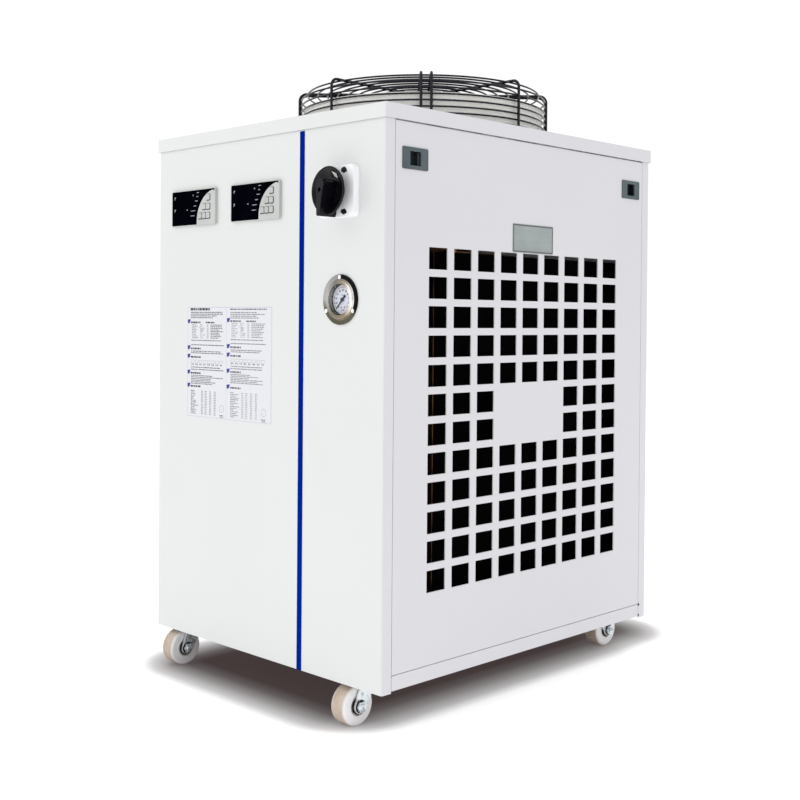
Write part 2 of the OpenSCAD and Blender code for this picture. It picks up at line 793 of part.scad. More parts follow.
module water_tank() color([0.82, 0.84, 0.86])
    translate([(tank_x0 + tank_x1) / 2, (tank_y0 + tank_y1) / 2, floor_z]) {
        d = tank_y1 - tank_y0;
        corner = 16;
        band_h = 12;
        lid_r = 36;
        lid_h = 8;
        linear_extrude(tank_h) round_rect(tank_w - 2 * tank_band, d - 2 * tank_band, corner - tank_band);
        for (z = [0, tank_h / 3, tank_h * 2 / 3, tank_h - band_h]) translate([0, 0, z])
            linear_extrude(band_h) round_rect(tank_w, d, corner);
        rod(lid_r, tank_h - past, tank_h + lid_h);
    }

// A canned pump lying along y: head and inlet to the front, outlet up, ribbed motor on two saddles
module pump(x) translate([x, pump_y0, floor_z + pump_r + pump_rise]) {
    head_y0 = 18;
    head_y1 = 62;
    motor_r = pump_r - 8;
    rib_t = 4;
    rib_pitch = 12;
    port_r = 12;
    inlet_r = 14;
    outlet_y = 40;
    base_y = 76;
    base_t = 6;
    saddle_w = 36;
    saddle_d = 12;
    rotate([-90, 0, 0]) {
        rod(pump_r, head_y0, head_y1);
        rod(motor_r, head_y1 - past, pump_len);
        for (z = [head_y1 + rib_pitch:rib_pitch:pump_len - rib_pitch]) rod(motor_r + rib_t, z, z + rib_t);
        rod(inlet_r, 0, head_y0 + past);
    }
    translate([0, outlet_y]) rod(port_r, 0, pump_r + 30);
    translate([-motor_r, base_y, -pump_r - pump_rise])
        cube([2 * motor_r, pump_len - base_y - pump_rise, base_t]);
    for (y = [base_y + 8, pump_len - 30]) translate([-saddle_w / 2, y, base_t - sink - pump_r - pump_rise])
        cube([saddle_w, saddle_d, pump_r + pump_rise - motor_r]);
}

module main_pump() color([0.25, 0.3, 0.4]) pump(main_pump_x);
module second_pump() color([0.25, 0.3, 0.4]) pump(second_pump_x);

module electric_box() color([0.75, 0.76, 0.78]) difference() {
    translate([box_x0, inner_front_y, box_z0]) cube([box_x1 - box_x0, box_depth, box_z1 - box_z0]);
    translate([box_x0 + sheet, inner_front_y - past, box_z0 + sheet])
        cube([box_x1 - box_x0 - 2 * sheet, box_depth + past - sheet, box_z1 - box_z0 - 2 * sheet]);
}

// The outline of a controller's dark window, drawn in by a gap
module window_outline(gap) intersection() {
    inset = window_margin + gap;
    difference() {
        round_rect(ctrl_w - 2 * inset, ctrl_h - 2 * inset, window_corner);
        translate([window_cx, window_cz]) circle(r = window_r + gap, $fn = 128);
    }
    translate([-ctrl_w / 2, -ctrl_h / 2]) square([ctrl_w - window_side - gap, ctrl_h]);
}

function key_at(k) = [key_x + key_grid[k][0] * key_dx, key_z + key_grid[k][1] * key_dz];

module controller_bezel(x) on_front(x, ctrl_z) difference() {
    hole_w = key_w + 2 * slide_gap;
    pocket_w = hole_w + 2 * key_flange + sink;
    union() {
        linear_extrude(ctrl_t) round_rect(ctrl_w, ctrl_h, ctrl_corner);
        translate([0, 0, -ctrl_depth]) linear_extrude(ctrl_depth + sink)
            square([ctrl_can_w, ctrl_can_h], center = true);
    }
    translate([0, 0, ctrl_t - window_t]) linear_extrude(window_t + past) window_outline(0);
    for (k = [0:5]) translate(key_at(k)) {
        translate([0, 0, ctrl_t - face_t - sink]) linear_extrude(face_t + past)
            round_rect(hole_w, hole_w, key_corner + slide_gap);
        translate([0, 0, ctrl_t - face_t - key_pocket]) linear_extrude(key_pocket)
            square(pocket_w, center = true);
    }
}

module controller_bezels() color([0.82, 0.84, 0.84]) {
    controller_bezel(ctrl_left_x);
    controller_bezel(ctrl_right_x);
}

module display_windows() color([0.03, 0.03, 0.04]) for (x = [ctrl_left_x, ctrl_right_x]) on_front(x, ctrl_z)
    translate([0, 0, ctrl_t - window_t]) linear_extrude(window_t) window_outline(window_gap);

module controller_key(x, k) color([0.72, 0.74, 0.75]) on_front(x, ctrl_z) translate(key_at(k)) {
    flange_z = ctrl_t - face_t - rest_gap - key_flange_t;
    translate([0, 0, flange_z]) linear_extrude(key_flange_t) square(key_w + 2 * key_flange, center = true);
    translate([0, 0, flange_z]) linear_extrude(ctrl_t + key_proud - flange_z)
        round_rect(key_w, key_w, key_corner);
}

module switch_plate() color([0.93, 0.93, 0.92]) on_front(right_group_x, switch_z) difference() {
    corner = 6;
    union() {
        linear_extrude(switch_t) round_rect(switch_w, switch_w, corner);
        rod(switch_neck_r - fit_gap, -sheet - past, sink);
        translate([0, 0, -sheet - switch_can_d]) linear_extrude(switch_can_d)
            square(switch_can_w, center = true);
    }
    rod(knob_shaft_r + run_gap, -sheet - shaft_depth - 5, switch_t + past);
    for (s = switch_screws) translate(s) {
        rod(screw_hole_r, -past, switch_t + past);
        rod(screw_head_r + fit_gap, switch_t - head_depth, switch_t + past);
    }
}

// The knob's raised grip from above: a round tail and a slender bar that points down
module grip_outline() rotate(-knob_turn) {
    tail_r = 7;
    tail_y = 6.5;
    tip_r = 3;
    tip_y = tip_r - knob_r - 2;
    side = [[6.7, 4.6], [5.8, 0.5], [5.1, -3], [4.7, -6.5], [tip_r, tip_y]];
    translate([0, tail_y]) circle(r = tail_r);
    translate([0, tip_y]) circle(r = tip_r);
    polygon(concat(side, [for (i = [len(side) - 1:-1:0]) [-side[i][0], side[i][1]]]));
}

// The knob: a flared cup on a slim neck, and a grip with a screw recess over the shaft
module switch_knob() color([0.06, 0.06, 0.07]) on_front(right_group_x, switch_z)
    translate([0, 0, switch_t + rest_gap]) {
        neck_r = 15;
        rim_h = 13.8;
        rim_side = 2;
        rim_edge = 0.8;
        rim_w = 2.5;
        cup_r = 16.5;
        cup_t = 4;
        recess_r = 2.6;
        recess_d = 5;
        difference() {
            union() {
                rotate_extrude($fn = 96) polygon([[0, 0], [neck_r, 0], [knob_r - rim_edge, rim_h - rim_side],
                    [knob_r, rim_h - rim_side + rim_edge], [knob_r, rim_h - rim_edge],
                    [knob_r - rim_edge, rim_h], [knob_r - rim_w, rim_h], [cup_r, cup_t], [0, cup_t]]);
                linear_extrude(knob_h - rest_gap) grip_outline();
            }
            rod(recess_r, knob_h - recess_d, knob_h + past);
        }
        rod(knob_shaft_r, -switch_t - sheet - shaft_depth, sink);
    }

module gauge_case() color([0.78, 0.78, 0.8]) on_front(right_group_x, gauge_z) difference() {
    stem_r = 6;
    stem_l = 14;
    union() {
        rod(gauge_r, 0, flange_t);
        rotate_extrude($fn = 96) {
            square([bezel_r, gauge_t - bezel_edge]);
            translate([bezel_r - bezel_edge, gauge_t - bezel_edge]) circle(r = bezel_edge);
            square([bezel_r - bezel_edge, gauge_t]);
        }
        rod(gauge_can_r, -gauge_depth, sink);
        rod(stem_r, -gauge_depth - stem_l, -gauge_depth + sink);
    }
    rod(dial_r, dial_seat, gauge_t + past);
    rod(dial_r + lens_lip + window_gap, lens_z - window_gap, lens_z + lens_t + window_gap);
    for (a = gauge_angles) rotate(a) translate([gauge_screw_r, 0]) rod(screw_hole_r, -past, flange_t + past);
}

module gauge_dial() color([0.95, 0.95, 0.93]) on_front(right_group_x, gauge_z) difference() {
    rod(dial_r - slide_gap, dial_seat, dial_seat + dial_t);
    rod(needle_shaft_r + run_gap, dial_seat - past, dial_seat + dial_t + past);
}

module gauge_needle() color([0.05, 0.05, 0.05]) on_front(right_group_x, gauge_z) rotate(needle_angle) {
    hub_r = 2.4;
    hub_t = 1.2;
    blade = 0.6;
    tip = dial_r - 4;
    tail = 7;
    rod(needle_shaft_r, dial_seat + rest_gap, needle_z + sink);
    rod(hub_r, needle_z, needle_z + hub_t);
    translate([0, 0, needle_z]) linear_extrude(blade)
        polygon([[-0.9, 0], [-0.25, tip], [0.25, tip], [0.9, 0], [1.3, -tail], [-1.3, -tail]]);
}

module gauge_lens() color([0.85, 0.9, 0.92, 0.35]) on_front(right_group_x, gauge_z)
    rod(dial_r + lens_lip, lens_z, lens_z + lens_t);

module blue_strip() color([0, 0.13, 0.53]) translate([stripe_x - stripe_w / 2, front_y - stripe_t, bottom_z])
    cube([stripe_w, stripe_t, skirt_z - panel_drop - bottom_z]);

// One latch housing: a plate with a finger window over a pocket that is open to the bolt
module latch_housing() difference() {
    corner = 2;
    union() {
        linear_extrude(latch_plate_t) round_rect(latch_w, latch_h, corner);
        translate([0, 0, -latch_pocket_d]) linear_extrude(latch_pocket_d + sink)
            square([latch_can_w, latch_can_h], center = true);
    }
    translate([0, 0, -latch_face_t - sink]) linear_extrude(latch_face_t + latch_plate_t + past)
        square([latch_window, latch_window_h], center = true);
    translate([0, 0, latch_wall - latch_pocket_d]) linear_extrude(latch_pocket_d - latch_wall - latch_face_t)
        square([latch_can_w - 2 * latch_wall, latch_can_h - 2 * latch_wall], center = true);
    translate([-latch_can_w / 2 - past, -bolt_h / 2 - slide_gap, bolt_floor - slide_gap])
        cube([latch_wall + 2 * past, bolt_h + 2 * slide_gap, bolt_t + 2 * slide_gap]);
}

module latch_housings() color([0.36, 0.4, 0.42]) {
    on_right(latch_front_y, latch_z) latch_housing();
    on_right(latch_rear_y, latch_z) rotate(180) latch_housing();
}

// The sliding grip and bolt of a latch, with the post at -x and the post's edge at a given reach
module latch_grip(reach) {
    base_t = 1.5;
    spare = 1;
    x0 = -latch_can_w / 2 + latch_wall + spare;
    x1 = latch_window / 2;
    base_h = latch_can_h - 2 * latch_wall - 2 * spare;
    strip_h = latch_window_h - 2 * spare;
    translate([x0, -base_h / 2, bolt_floor]) cube([x1 - x0, base_h, base_t]);
    translate([x1 - grip_w, -strip_h / 2, bolt_floor]) cube([grip_w, strip_h, grip_top - bolt_floor]);
    translate([-reach - bolt_hook, -bolt_h / 2, bolt_floor])
        cube([x0 + spare + reach + bolt_hook, bolt_h, bolt_t]);
    translate([-reach - bolt_hook, -bolt_h / 2, bolt_floor])
        cube([bolt_hook, bolt_h, -bolt_floor - sheet - rest_gap]);
}

module front_latch_grip() color([0.3, 0.33, 0.35]) on_right(latch_front_y, latch_z)
    latch_grip(latch_front_y - front_y - front_return);
module rear_latch_grip() color([0.3, 0.33, 0.35]) on_right(latch_rear_y, latch_z) rotate(180)
    latch_grip(rear_y - rear_return - latch_rear_y);

module caster_plates() color([0.7, 0.72, 0.74]) for (p = caster_spots) translate([p[0], p[1]]) difference() {
    union() {
        translate([0, 0, pan_under_z - plate_t]) linear_extrude(plate_t)
            round_rect(caster_plate_w, caster_plate_l, caster_corner);
        rod(race_r, fork_top_z + rest_gap, pan_under_z - plate_t + sink);
    }
    rod(pin_r + run_gap, fork_top_z, pan_under_z);
    rod(king_head_r + rest_gap, king_z - rest_gap, pan_under_z + past);
}

// The side of a caster's fork, seen along its axle, with the trail along x
module fork_side() {
    lean = 0.97 * fork_end_r;
    rise = 2.4;
    translate([trail, wheel_r]) circle(r = fork_end_r);
    polygon([[-fork_back, fork_top_z], [fork_fore, fork_top_z], [trail + lean, wheel_r + rise],
             [trail - lean, wheel_r - rise]]);
}

module caster_fork(i) color([0.68, 0.7, 0.73]) translate([caster_spots[i][0], caster_spots[i][1]])
    rotate(sign(caster_spots[i][1]) * 90) {
        for (s = [-1, 1]) translate([0, s * (fork_half + fork_t / 2) + fork_t / 2, 0]) rotate([90, 0, 0])
            linear_extrude(fork_t) fork_side();
        translate([0, 0, fork_top_z - fork_crown]) linear_extrude(fork_crown) {
            circle(r = race_r + 2);
            translate([-fork_back, -fork_half - fork_t])
                square([fork_back + fork_fore, 2 * (fork_half + fork_t)]);
        }
        rod(pin_r, fork_top_z - sink, king_z + sink);
        rod(king_head_r, king_z, king_z + king_head_t);
        translate([trail, 0, wheel_r]) rotate([90, 0, 0]) {
            rod(pin_r, -axle_half, axle_half);
            for (s = [0, 180]) rotate([s, 0, 0]) translate([0, 0, fork_half + fork_t - sink])
                cylinder(r = nut_r, h = nut_h + sink, $fn = 6);
        }
    }

module caster_wheel(i) color([0.9, 0.87, 0.78]) translate([caster_spots[i][0],
        caster_spots[i][1] + sign(caster_spots[i][1]) * trail, wheel_r]) rotate([0, 90, 0]) difference() {
    hub_r = pin_r + hub_wall;
    rotate_extrude($fn = 96) difference() {
        union() {
            translate([0, -wheel_w / 2]) square([wheel_r - shoulder, wheel_w]);
            translate([0, -wheel_w / 2 + shoulder]) square([wheel_r, wheel_w - 2 * shoulder]);
            for (s = [-1, 1]) translate([wheel_r - shoulder, s * (wheel_w / 2 - shoulder)])
                circle(r = shoulder);
            translate([0, -wheel_w / 2 - hub_proud]) square([hub_r, wheel_w + 2 * hub_proud]);
        }
        for (s = [-1, 1]) translate([hub_r + groove_w / 2 + fit_gap, s * wheel_w / 2])
            square([groove_w, 2 * groove_depth], center = true);
    }
    rod(pin_r + run_gap, -wheel_w, wheel_w);
}

module water_ports() color([0.75, 0.72, 0.5]) for (x = port_xs) on_rear(x, port_z) difference() {
    tail = -sheet - nut_t - port_tail;
    union() {
        rod(port_r, tail, port_reach);
        cylinder(r = hex_r, h = hex_t, $fn = 6);
        translate([0, 0, -sheet - nut_t]) cylinder(r = hex_r, h = nut_t, $fn = 6);
    }
    rod(port_bore_r, tail - past, port_reach + past);
}

module fill_neck() color([0.1, 0.1, 0.1]) on_rear(fill_x, fill_z) difference() {
    union() {
        rod(neck_r, -neck_depth, neck_reach);
        rod(cap_r + 2, 0, neck_flange_t);
    }
    rod(neck_r - neck_wall, -neck_depth - past, neck_reach + past);
}

module fill_cap() color([0.1, 0.1, 0.1]) on_rear(fill_x, fill_z) difference() {
    seat = neck_reach + rest_gap;
    lid_t = 3;
    grip = 1.4;
    union() {
        rod(cap_r - 1, neck_flange_t + rest_gap, seat + lid_t);
        for (a = [0:15:345]) rotate(a) translate([cap_r - grip, 0])
            rod(grip, neck_flange_t + past, neck_reach + 2);
    }
    rod(neck_r + rest_gap, 0, seat);
}

module level_gauge() color([0.2, 0.2, 0.22]) on_rear(level_x, level_z) {
    w = 24;
    block_h = 28;
    block_t = 14;
    back_t = 3;
    tube_z = back_t + level_stub_r + fit_gap;
    span = level_h - 40;
    for (s = [-1, 1]) translate([0, s * level_stubs]) {
        rod(level_stub_r, -tank_face, block_t - past);
        translate([-w / 2, -block_h / 2, 0]) cube([w, block_h, block_t]);
    }
    translate([-w / 2, -span / 2, 0]) cube([w, span, back_t]);
    translate([0, -span / 2, tube_z]) rotate([-90, 0, 0]) rod(level_stub_r, 0, span);
}

module drain_valve() color([0.78, 0.66, 0.38]) on_rear(drain_x, drain_z) difference() {
    spout = 36;
    spout_bore_r = 5;
    stem_top = valve_r + 4;
    union() {
        rod(valve_r, -tank_face - tank_band, spout);
        cylinder(r = valve_r + 4, h = nut_t, $fn = 6);
        translate([0, 0, valve_z]) rotate([-90, 0, 0]) rod(stem_r + 3, 0, stem_top);
        translate([0, 0, valve_z]) sphere(r = valve_r + 2.5);
    }
    rod(spout_bore_r, spout - 12, spout + past);
    translate([0, 0, valve_z]) rotate([-90, 0, 0]) rod(stem_r + run_gap, valve_r - 6, stem_top + past);
}

module drain_handle() color([0.75, 0.12, 0.1]) on_rear(drain_x, drain_z) translate([0, 0, valve_z]) {
    lever_y = valve_r + 4 + rest_gap;
    lever_l = 38;
    lever_w = 10;
    lever_t = 3;
    rotate([-90, 0, 0]) rod(stem_r, valve_r - 5, lever_y + sink);
    translate([-lever_w / 2, lever_y, -lever_w / 2]) cube([lever_l, lever_t, lever_w]);
}

module cable_gland() color([0.08, 0.08, 0.08]) on_rear(gland_x, gland_z) difference() {
    nut_r = gland_r + 4;
    thread_z = -sheet - 10;
    lock_t = 5;
    body_h = 8;
    dome_z = 20;
    dome_h = 6;
    union() {
        rod(gland_r, thread_z, body_h);
        cylinder(r = nut_r, h = body_h - past, $fn = 6);
        translate([0, 0, -sheet - lock_t]) cylinder(r = nut_r, h = lock_t, $fn = 6);
        translate([0, 0, body_h - sink]) cylinder(r = nut_r - 1, h = dome_z + sink + 1 - body_h, $fn = 6);
        translate([0, 0, dome_z]) cylinder(r1 = gland_r + 1, r2 = gland_bore_r + 2, h = dome_h);
    }
    rod(gland_bore_r, thread_z - past, dome_z + dome_h + past);
}

// A pan-head screw with its head's underside at the origin
module pan_screw(length, head_r) {
    head_t = 1.8;
    dome_r = 5.2;
    rod(screw_r, -length, sink);
    rotate_extrude() intersection() {
        square([head_r, head_t]);
        translate([0, head_t - dome_r]) circle(r = dome_r);
    }
}

module screws() color([0.12, 0.12, 0.13]) {
    on_front(right_group_x, switch_z) for (s = switch_screws) translate([s[0], s[1], switch_t - head_depth])
        pan_screw(switch_t + 2, screw_head_r);
    on_front(right_group_x, gauge_z) for (a = gauge_angles) rotate(a) translate([gauge_screw_r, 0, flange_t])
        pan_screw(6, gauge_head_r);
    translate([0, fan_y]) for (a = [45:90:315]) rotate(a) translate([foot_screw_r, 0, top_z + sheet])
        pan_screw(8, screw_head_r);
    for (s = panel_screws) translate([-side_x, s[0], s[1]]) rotate([0, -90, 0]) pan_screw(6, screw_head_r);
}

base_pan();
front_panel();
rear_panel();
right_panel();
left_panel();
top_cover();
top_rails();
fan_collar();
fan_guard();
fan_motor();
fan_impeller();
condenser_fins();
condenser_coil();
compressor();
refrigerant_pipes();
water_tank();
main_pump();
second_pump();
electric_box();
controller_bezels();
display_windows();
for (k = [0:5]) {
    controller_key(ctrl_left_x, k);
    controller_key(ctrl_right_x, k);
}
switch_plate();
switch_knob();
gauge_case();
gauge_dial();
gauge_needle();
gauge_lens();
blue_strip();
latch_housings();
front_latch_grip();
rear_latch_grip();
caster_plates();
caster_fork(0);  // front_right_fork
caster_fork(1);  // front_left_fork
caster_fork(2);  // rear_right_fork
caster_fork(3);  // rear_left_fork
caster_wheel(0);  // front_right_wheel
caster_wheel(1);  // front_left_wheel
caster_wheel(2);  // rear_right_wheel
caster_wheel(3);  // rear_left_wheel
water_ports();
fill_neck();
fill_cap();
level_gauge();
drain_valve();
drain_handle();
cable_gland();
screws();
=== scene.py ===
"""Looks, small surface pieces, light and view for the chiller.

Lengths are in millimetres, but the floor's shade, the lights and the camera are in metres.
"""

import math
import random

import bpy
from mathutils import Matrix, Vector


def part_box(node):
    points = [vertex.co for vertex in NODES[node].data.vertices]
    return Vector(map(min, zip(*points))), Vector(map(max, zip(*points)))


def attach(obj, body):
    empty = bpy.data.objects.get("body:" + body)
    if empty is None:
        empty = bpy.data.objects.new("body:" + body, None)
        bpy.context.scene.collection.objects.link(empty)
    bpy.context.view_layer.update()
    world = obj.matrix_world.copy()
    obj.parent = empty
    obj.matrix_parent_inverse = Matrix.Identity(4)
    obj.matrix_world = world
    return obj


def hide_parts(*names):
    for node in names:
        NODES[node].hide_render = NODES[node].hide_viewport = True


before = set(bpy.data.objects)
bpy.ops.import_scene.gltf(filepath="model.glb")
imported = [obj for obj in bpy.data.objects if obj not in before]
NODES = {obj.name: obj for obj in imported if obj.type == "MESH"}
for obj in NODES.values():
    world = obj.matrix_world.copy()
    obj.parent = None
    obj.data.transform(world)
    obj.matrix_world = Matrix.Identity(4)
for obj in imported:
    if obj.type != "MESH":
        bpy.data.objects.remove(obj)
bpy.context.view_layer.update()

MM = 0.001
FRONT_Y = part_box("front_panel")[0].y / MM
SIDE_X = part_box("right_panel")[1].x / MM
PAPER_H = 0.2  # thickness of the printed foil
INK_H = 0.04  # how far ink and flat marks stand off their surface
SUNK = 0.02  # how far a foil or plate starts off the panel
BEZEL_W, BEZEL_H = 102.0, 50.5
GAUGE_RING_R = 25.0  # outer radius of the gauge's raised ring
GAUGE_SCREWS_IN = 45.0  # every screw within this of the gauge's centre is a bright one
RIVET_Y = 260.5
RIVETS = ((73.0, 1.9), (57.2, 1.5))  # height and radius
SHEET_X0, SHEET_X1, SHEET_Z0, SHEET_Z1 = -162.0, 25.0, 359.0, 513.0
SHEET_W, SHEET_H = SHEET_X1 - SHEET_X0, SHEET_Z1 - SHEET_Z0
PLATE_Z, PLATE_W, PLATE_H = 606.0, 86.0, 38.0

random.seed(7)


# Places


def front_centre(node):
    """The middle of a node's front face."""
    low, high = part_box(node)
    return ((low.x + high.x) / 2 / MM, low.y / MM, (low.z + high.z) / 2 / MM)


def on_front(u0=0.0, v0=0.0, h0=0.0):
    """Turns u to the right, v up and h out of the front panel into a point."""
    return lambda u, v, h: (u0 + u, FRONT_Y - h0 - h, v0 + v)


def on_right(u0, v0):
    """Turns u to the rear, v up and h out of the right panel into a point."""
    return lambda u, v, h: (SIDE_X + h, u0 + u, v0 + v)


# Materials


class Finish:
    """A node material being built round one Principled shader, in the part's own coordinates."""

    def __init__(self, name):
        self.material = bpy.data.materials.new(name)
        self.material.use_nodes = True
        self.tree = self.material.node_tree
        self.tree.nodes.clear()
        self.output = self.tree.nodes.new("ShaderNodeOutputMaterial")
        self.shader = self.tree.nodes.new("ShaderNodeBsdfPrincipled")
        self.tree.links.new(self.shader.outputs[0], self.output.inputs["Surface"])
        self.place = self.tree.nodes.new("ShaderNodeTexCoord").outputs["Object"]
        self.normal = None

    def plug(self, value, socket):
        if isinstance(value, bpy.types.NodeSocket):
            self.tree.links.new(value, socket)
        elif isinstance(value, tuple) and len(value) == 3 and socket.type == "RGBA":
            socket.default_value = (*value, 1.0)
        else:
            socket.default_value = value

    def put(self, **values):
        """Sets shader inputs, with _ for the spaces in their names."""
        for name, value in values.items():
            self.plug(value, self.shader.inputs[name.replace("_", " ")])

    def noise(self, scale, detail=2.0, stretch=(1.0, 1.0, 1.0), shift=0.0):
        move = self.tree.nodes.new("ShaderNodeMapping")
        self.plug(self.place, move.inputs["Vector"])
        self.plug((shift, 2 * shift, 3 * shift), move.inputs["Location"])
        self.plug(stretch, move.inputs["Scale"])
        node = self.tree.nodes.new("ShaderNodeTexNoise")
        self.plug(move.outputs[0], node.inputs["Vector"])
        self.plug(scale, node.inputs["Scale"])
        self.plug(detail, node.inputs["Detail"])
        return node.outputs[0]

    def cells(self, scale):
        """One random value for each crystal-like cell."""
        node = self.tree.nodes.new("ShaderNodeTexVoronoi")
        self.plug(self.place, node.inputs["Vector"])
        self.plug(scale, node.inputs["Scale"])
        split = self.tree.nodes.new("ShaderNodeSeparateColor")
        self.plug(node.outputs["Color"], split.inputs[0])
        return split.outputs[0]

    def ramp(self, factor, *stops):
        node = self.tree.nodes.new("ShaderNodeValToRGB")
        self.plug(factor, node.inputs[0])
        elements = node.color_ramp.elements
        while len(elements) < len(stops):
            elements.new(0.5)
        for element, (position, colour) in zip(elements, stops):
            element.position = position
            element.color = (*colour, 1.0)
        return node.outputs[0]

    def spread(self, factor, low, high, start=0.25, end=0.75):
        node = self.tree.nodes.new("ShaderNodeMapRange")
        for name, value in (
            ("Value", factor),
            ("From Min", start),
            ("From Max", end),
            ("To Min", low),
            ("To Max", high),
        ):
            self.plug(value, node.inputs[name])
        return node.outputs[0]

    def mix(self, factor, a, b):
        node = self.tree.nodes.new("ShaderNodeMix")
        node.data_type = "RGBA"
        for socket, value in ((0, factor), (6, a), (7, b)):
            self.plug(value, node.inputs[socket])
        return node.outputs[2]

    def math(self, operation, a, b=0.0):
        node = self.tree.nodes.new("ShaderNodeMath")
        node.operation = operation
        self.plug(a, node.inputs[0])
        self.plug(b, node.inputs[1])
        return node.outputs[0]

    def axes(self, vector):
        """The outputs X, Y and Z of a vector."""
        node = self.tree.nodes.new("ShaderNodeSeparateXYZ")
        self.plug(vector, node.inputs[0])
        return node.outputs

    def sideways(self, start, end):
        """0 on faces that look to the front or up, 1 on those that look left or right."""
        normal = self.tree.nodes.new("ShaderNodeTexCoord").outputs["Normal"]
        return self.spread(self.math("ABSOLUTE", self.axes(normal)["X"]), 0.0, 1.0, start, end)

    def near(self, centre, radius):
        """1 within a radius of a point, else 0."""
        node = self.tree.nodes.new("ShaderNodeVectorMath")
        node.operation = "DISTANCE"
        self.plug(self.place, node.inputs[0])
        self.plug(tuple(c * MM for c in centre), node.inputs[1])
        return self.math("LESS_THAN", node.outputs["Value"], radius * MM)

    def soften(self, radius):
        """Rounds the look of every edge."""
        node = self.tree.nodes.new("ShaderNodeBevel")
        node.samples = 4
        self.plug(radius * MM, node.inputs["Radius"])
        self.normal = node.outputs[0]
        return self

    def bump(self, height, depth):
        """Surface relief of a depth in millimetres."""
        node = self.tree.nodes.new("ShaderNodeBump")
        self.plug(height, node.inputs["Height"])
        self.plug(depth * MM, node.inputs["Distance"])
        self.plug(1.0, node.inputs["Strength"])
        if self.normal is not None:
            self.plug(self.normal, node.inputs["Normal"])
        self.normal = node.outputs[0]
        self.plug(self.normal, self.shader.inputs["Normal"])
        return self


def paint(name, low, high, rough, peel, specular):
    """Baked enamel on sheet: faint clouds of tone, uneven gloss and orange peel."""
    f = Finish(name)
    f.put(
        Base_Color=f.ramp(f.noise(2.3, 3.0), (0.3, low), (0.7, high)),
        Roughness=f.spread(f.noise(30.0, 3.0, shift=0.7), rough - 0.05, rough + 0.07),
        Specular_IOR_Level=specular,
    )
    return f.bump(f.noise(650.0, 2.0), peel).material


def cabinet_paint(name):
    """White enamel in two copies by the way a face looks: a trace of green where it looks to the front,
    back, up or down, and a slightly darker trace of lavender, as painted light and shade, where it looks
    left or right.
    """
    f = Finish(name)
    clouds = f.noise(2.3, 3.0)
    # Painted light and shade: the copy for faces that look left or right is darker and bluer than the
    # other.
    front = f.ramp(clouds, (0.3, (0.672, 0.684, 0.684)), (0.7, (0.700, 0.712, 0.710)))
    side = f.ramp(clouds, (0.3, (0.662, 0.656, 0.690)), (0.7, (0.684, 0.678, 0.712)))
    f.put(
        Base_Color=f.mix(f.sideways(0.3, 0.7), front, side),
        Roughness=f.spread(f.noise(30.0, 3.0, shift=0.7), 0.33, 0.45),
    )
    return f.soften(0.5).bump(f.noise(650.0, 2.0), 0.012).material


def plastic(name, low, high, rough, grain, specular, edge):
    """Moulded plastic: slight mottling and a fine eroded grain."""
    f = Finish(name)
    f.put(
        Base_Color=f.ramp(f.noise(38.0, 4.0), (0.3, low), (0.7, high)),
        Roughness=f.spread(f.noise(160.0, 3.0), rough - 0.06, rough + 0.1),
        Specular_IOR_Level=specular,
    )
    if edge:
        f.soften(edge)
    return f.bump(f.noise(1900.0, 2.0), grain).material


def metal(name, low, high, rough, stretch=(1.0, 1.0, 1.0), edge=0.0):
    """Bare metal: drawn or rolled streaks along the shortest stretch, with uneven shine."""
    f = Finish(name)
    streaks = f.noise(220.0, 4.0, stretch)
    f.put(
        Base_Color=f.ramp(f.noise(24.0, 3.0), (0.3, low), (0.7, high)),
        Metallic=1.0,
        Roughness=f.spread(streaks, rough - 0.08, rough + 0.12),
    )
    if edge:
        f.soften(edge)
    return f.bump(streaks, 0.01).material


def spangled(name):
    """Hot-dip zinc: angular crystals of different brightness."""
    f = Finish(name)
    crystals = f.cells(95.0)
    f.put(
        Base_Color=f.ramp(crystals, (0.0, (0.36, 0.38, 0.40)), (1.0, (0.62, 0.64, 0.66))),
        Metallic=0.9,
        Roughness=f.spread(crystals, 0.32, 0.52, 0.0, 1.0),
    )
    return f.bump(f.noise(420.0, 3.0), 0.01).material


def passivated(name):
    """Bright zinc plate with a bluish passivation and darker patches."""
    f = Finish(name)
    base = f.ramp(f.noise(60.0, 4.0), (0.3, (0.66, 0.74, 0.78)), (0.7, (0.92, 0.97, 0.98)))
    spots = f.spread(f.noise(140.0, 3.0, shift=1.3), 0.0, 0.6, 0.54, 0.66)
    f.put(
        Base_Color=f.mix(spots, base, (0.10, 0.11, 0.13)),
        Metallic=0.55,
        Roughness=f.spread(f.noise(200.0, 3.0), 0.14, 0.3),
    )
    return f.soften(0.4).bump(f.noise(900.0, 2.0), 0.01).material


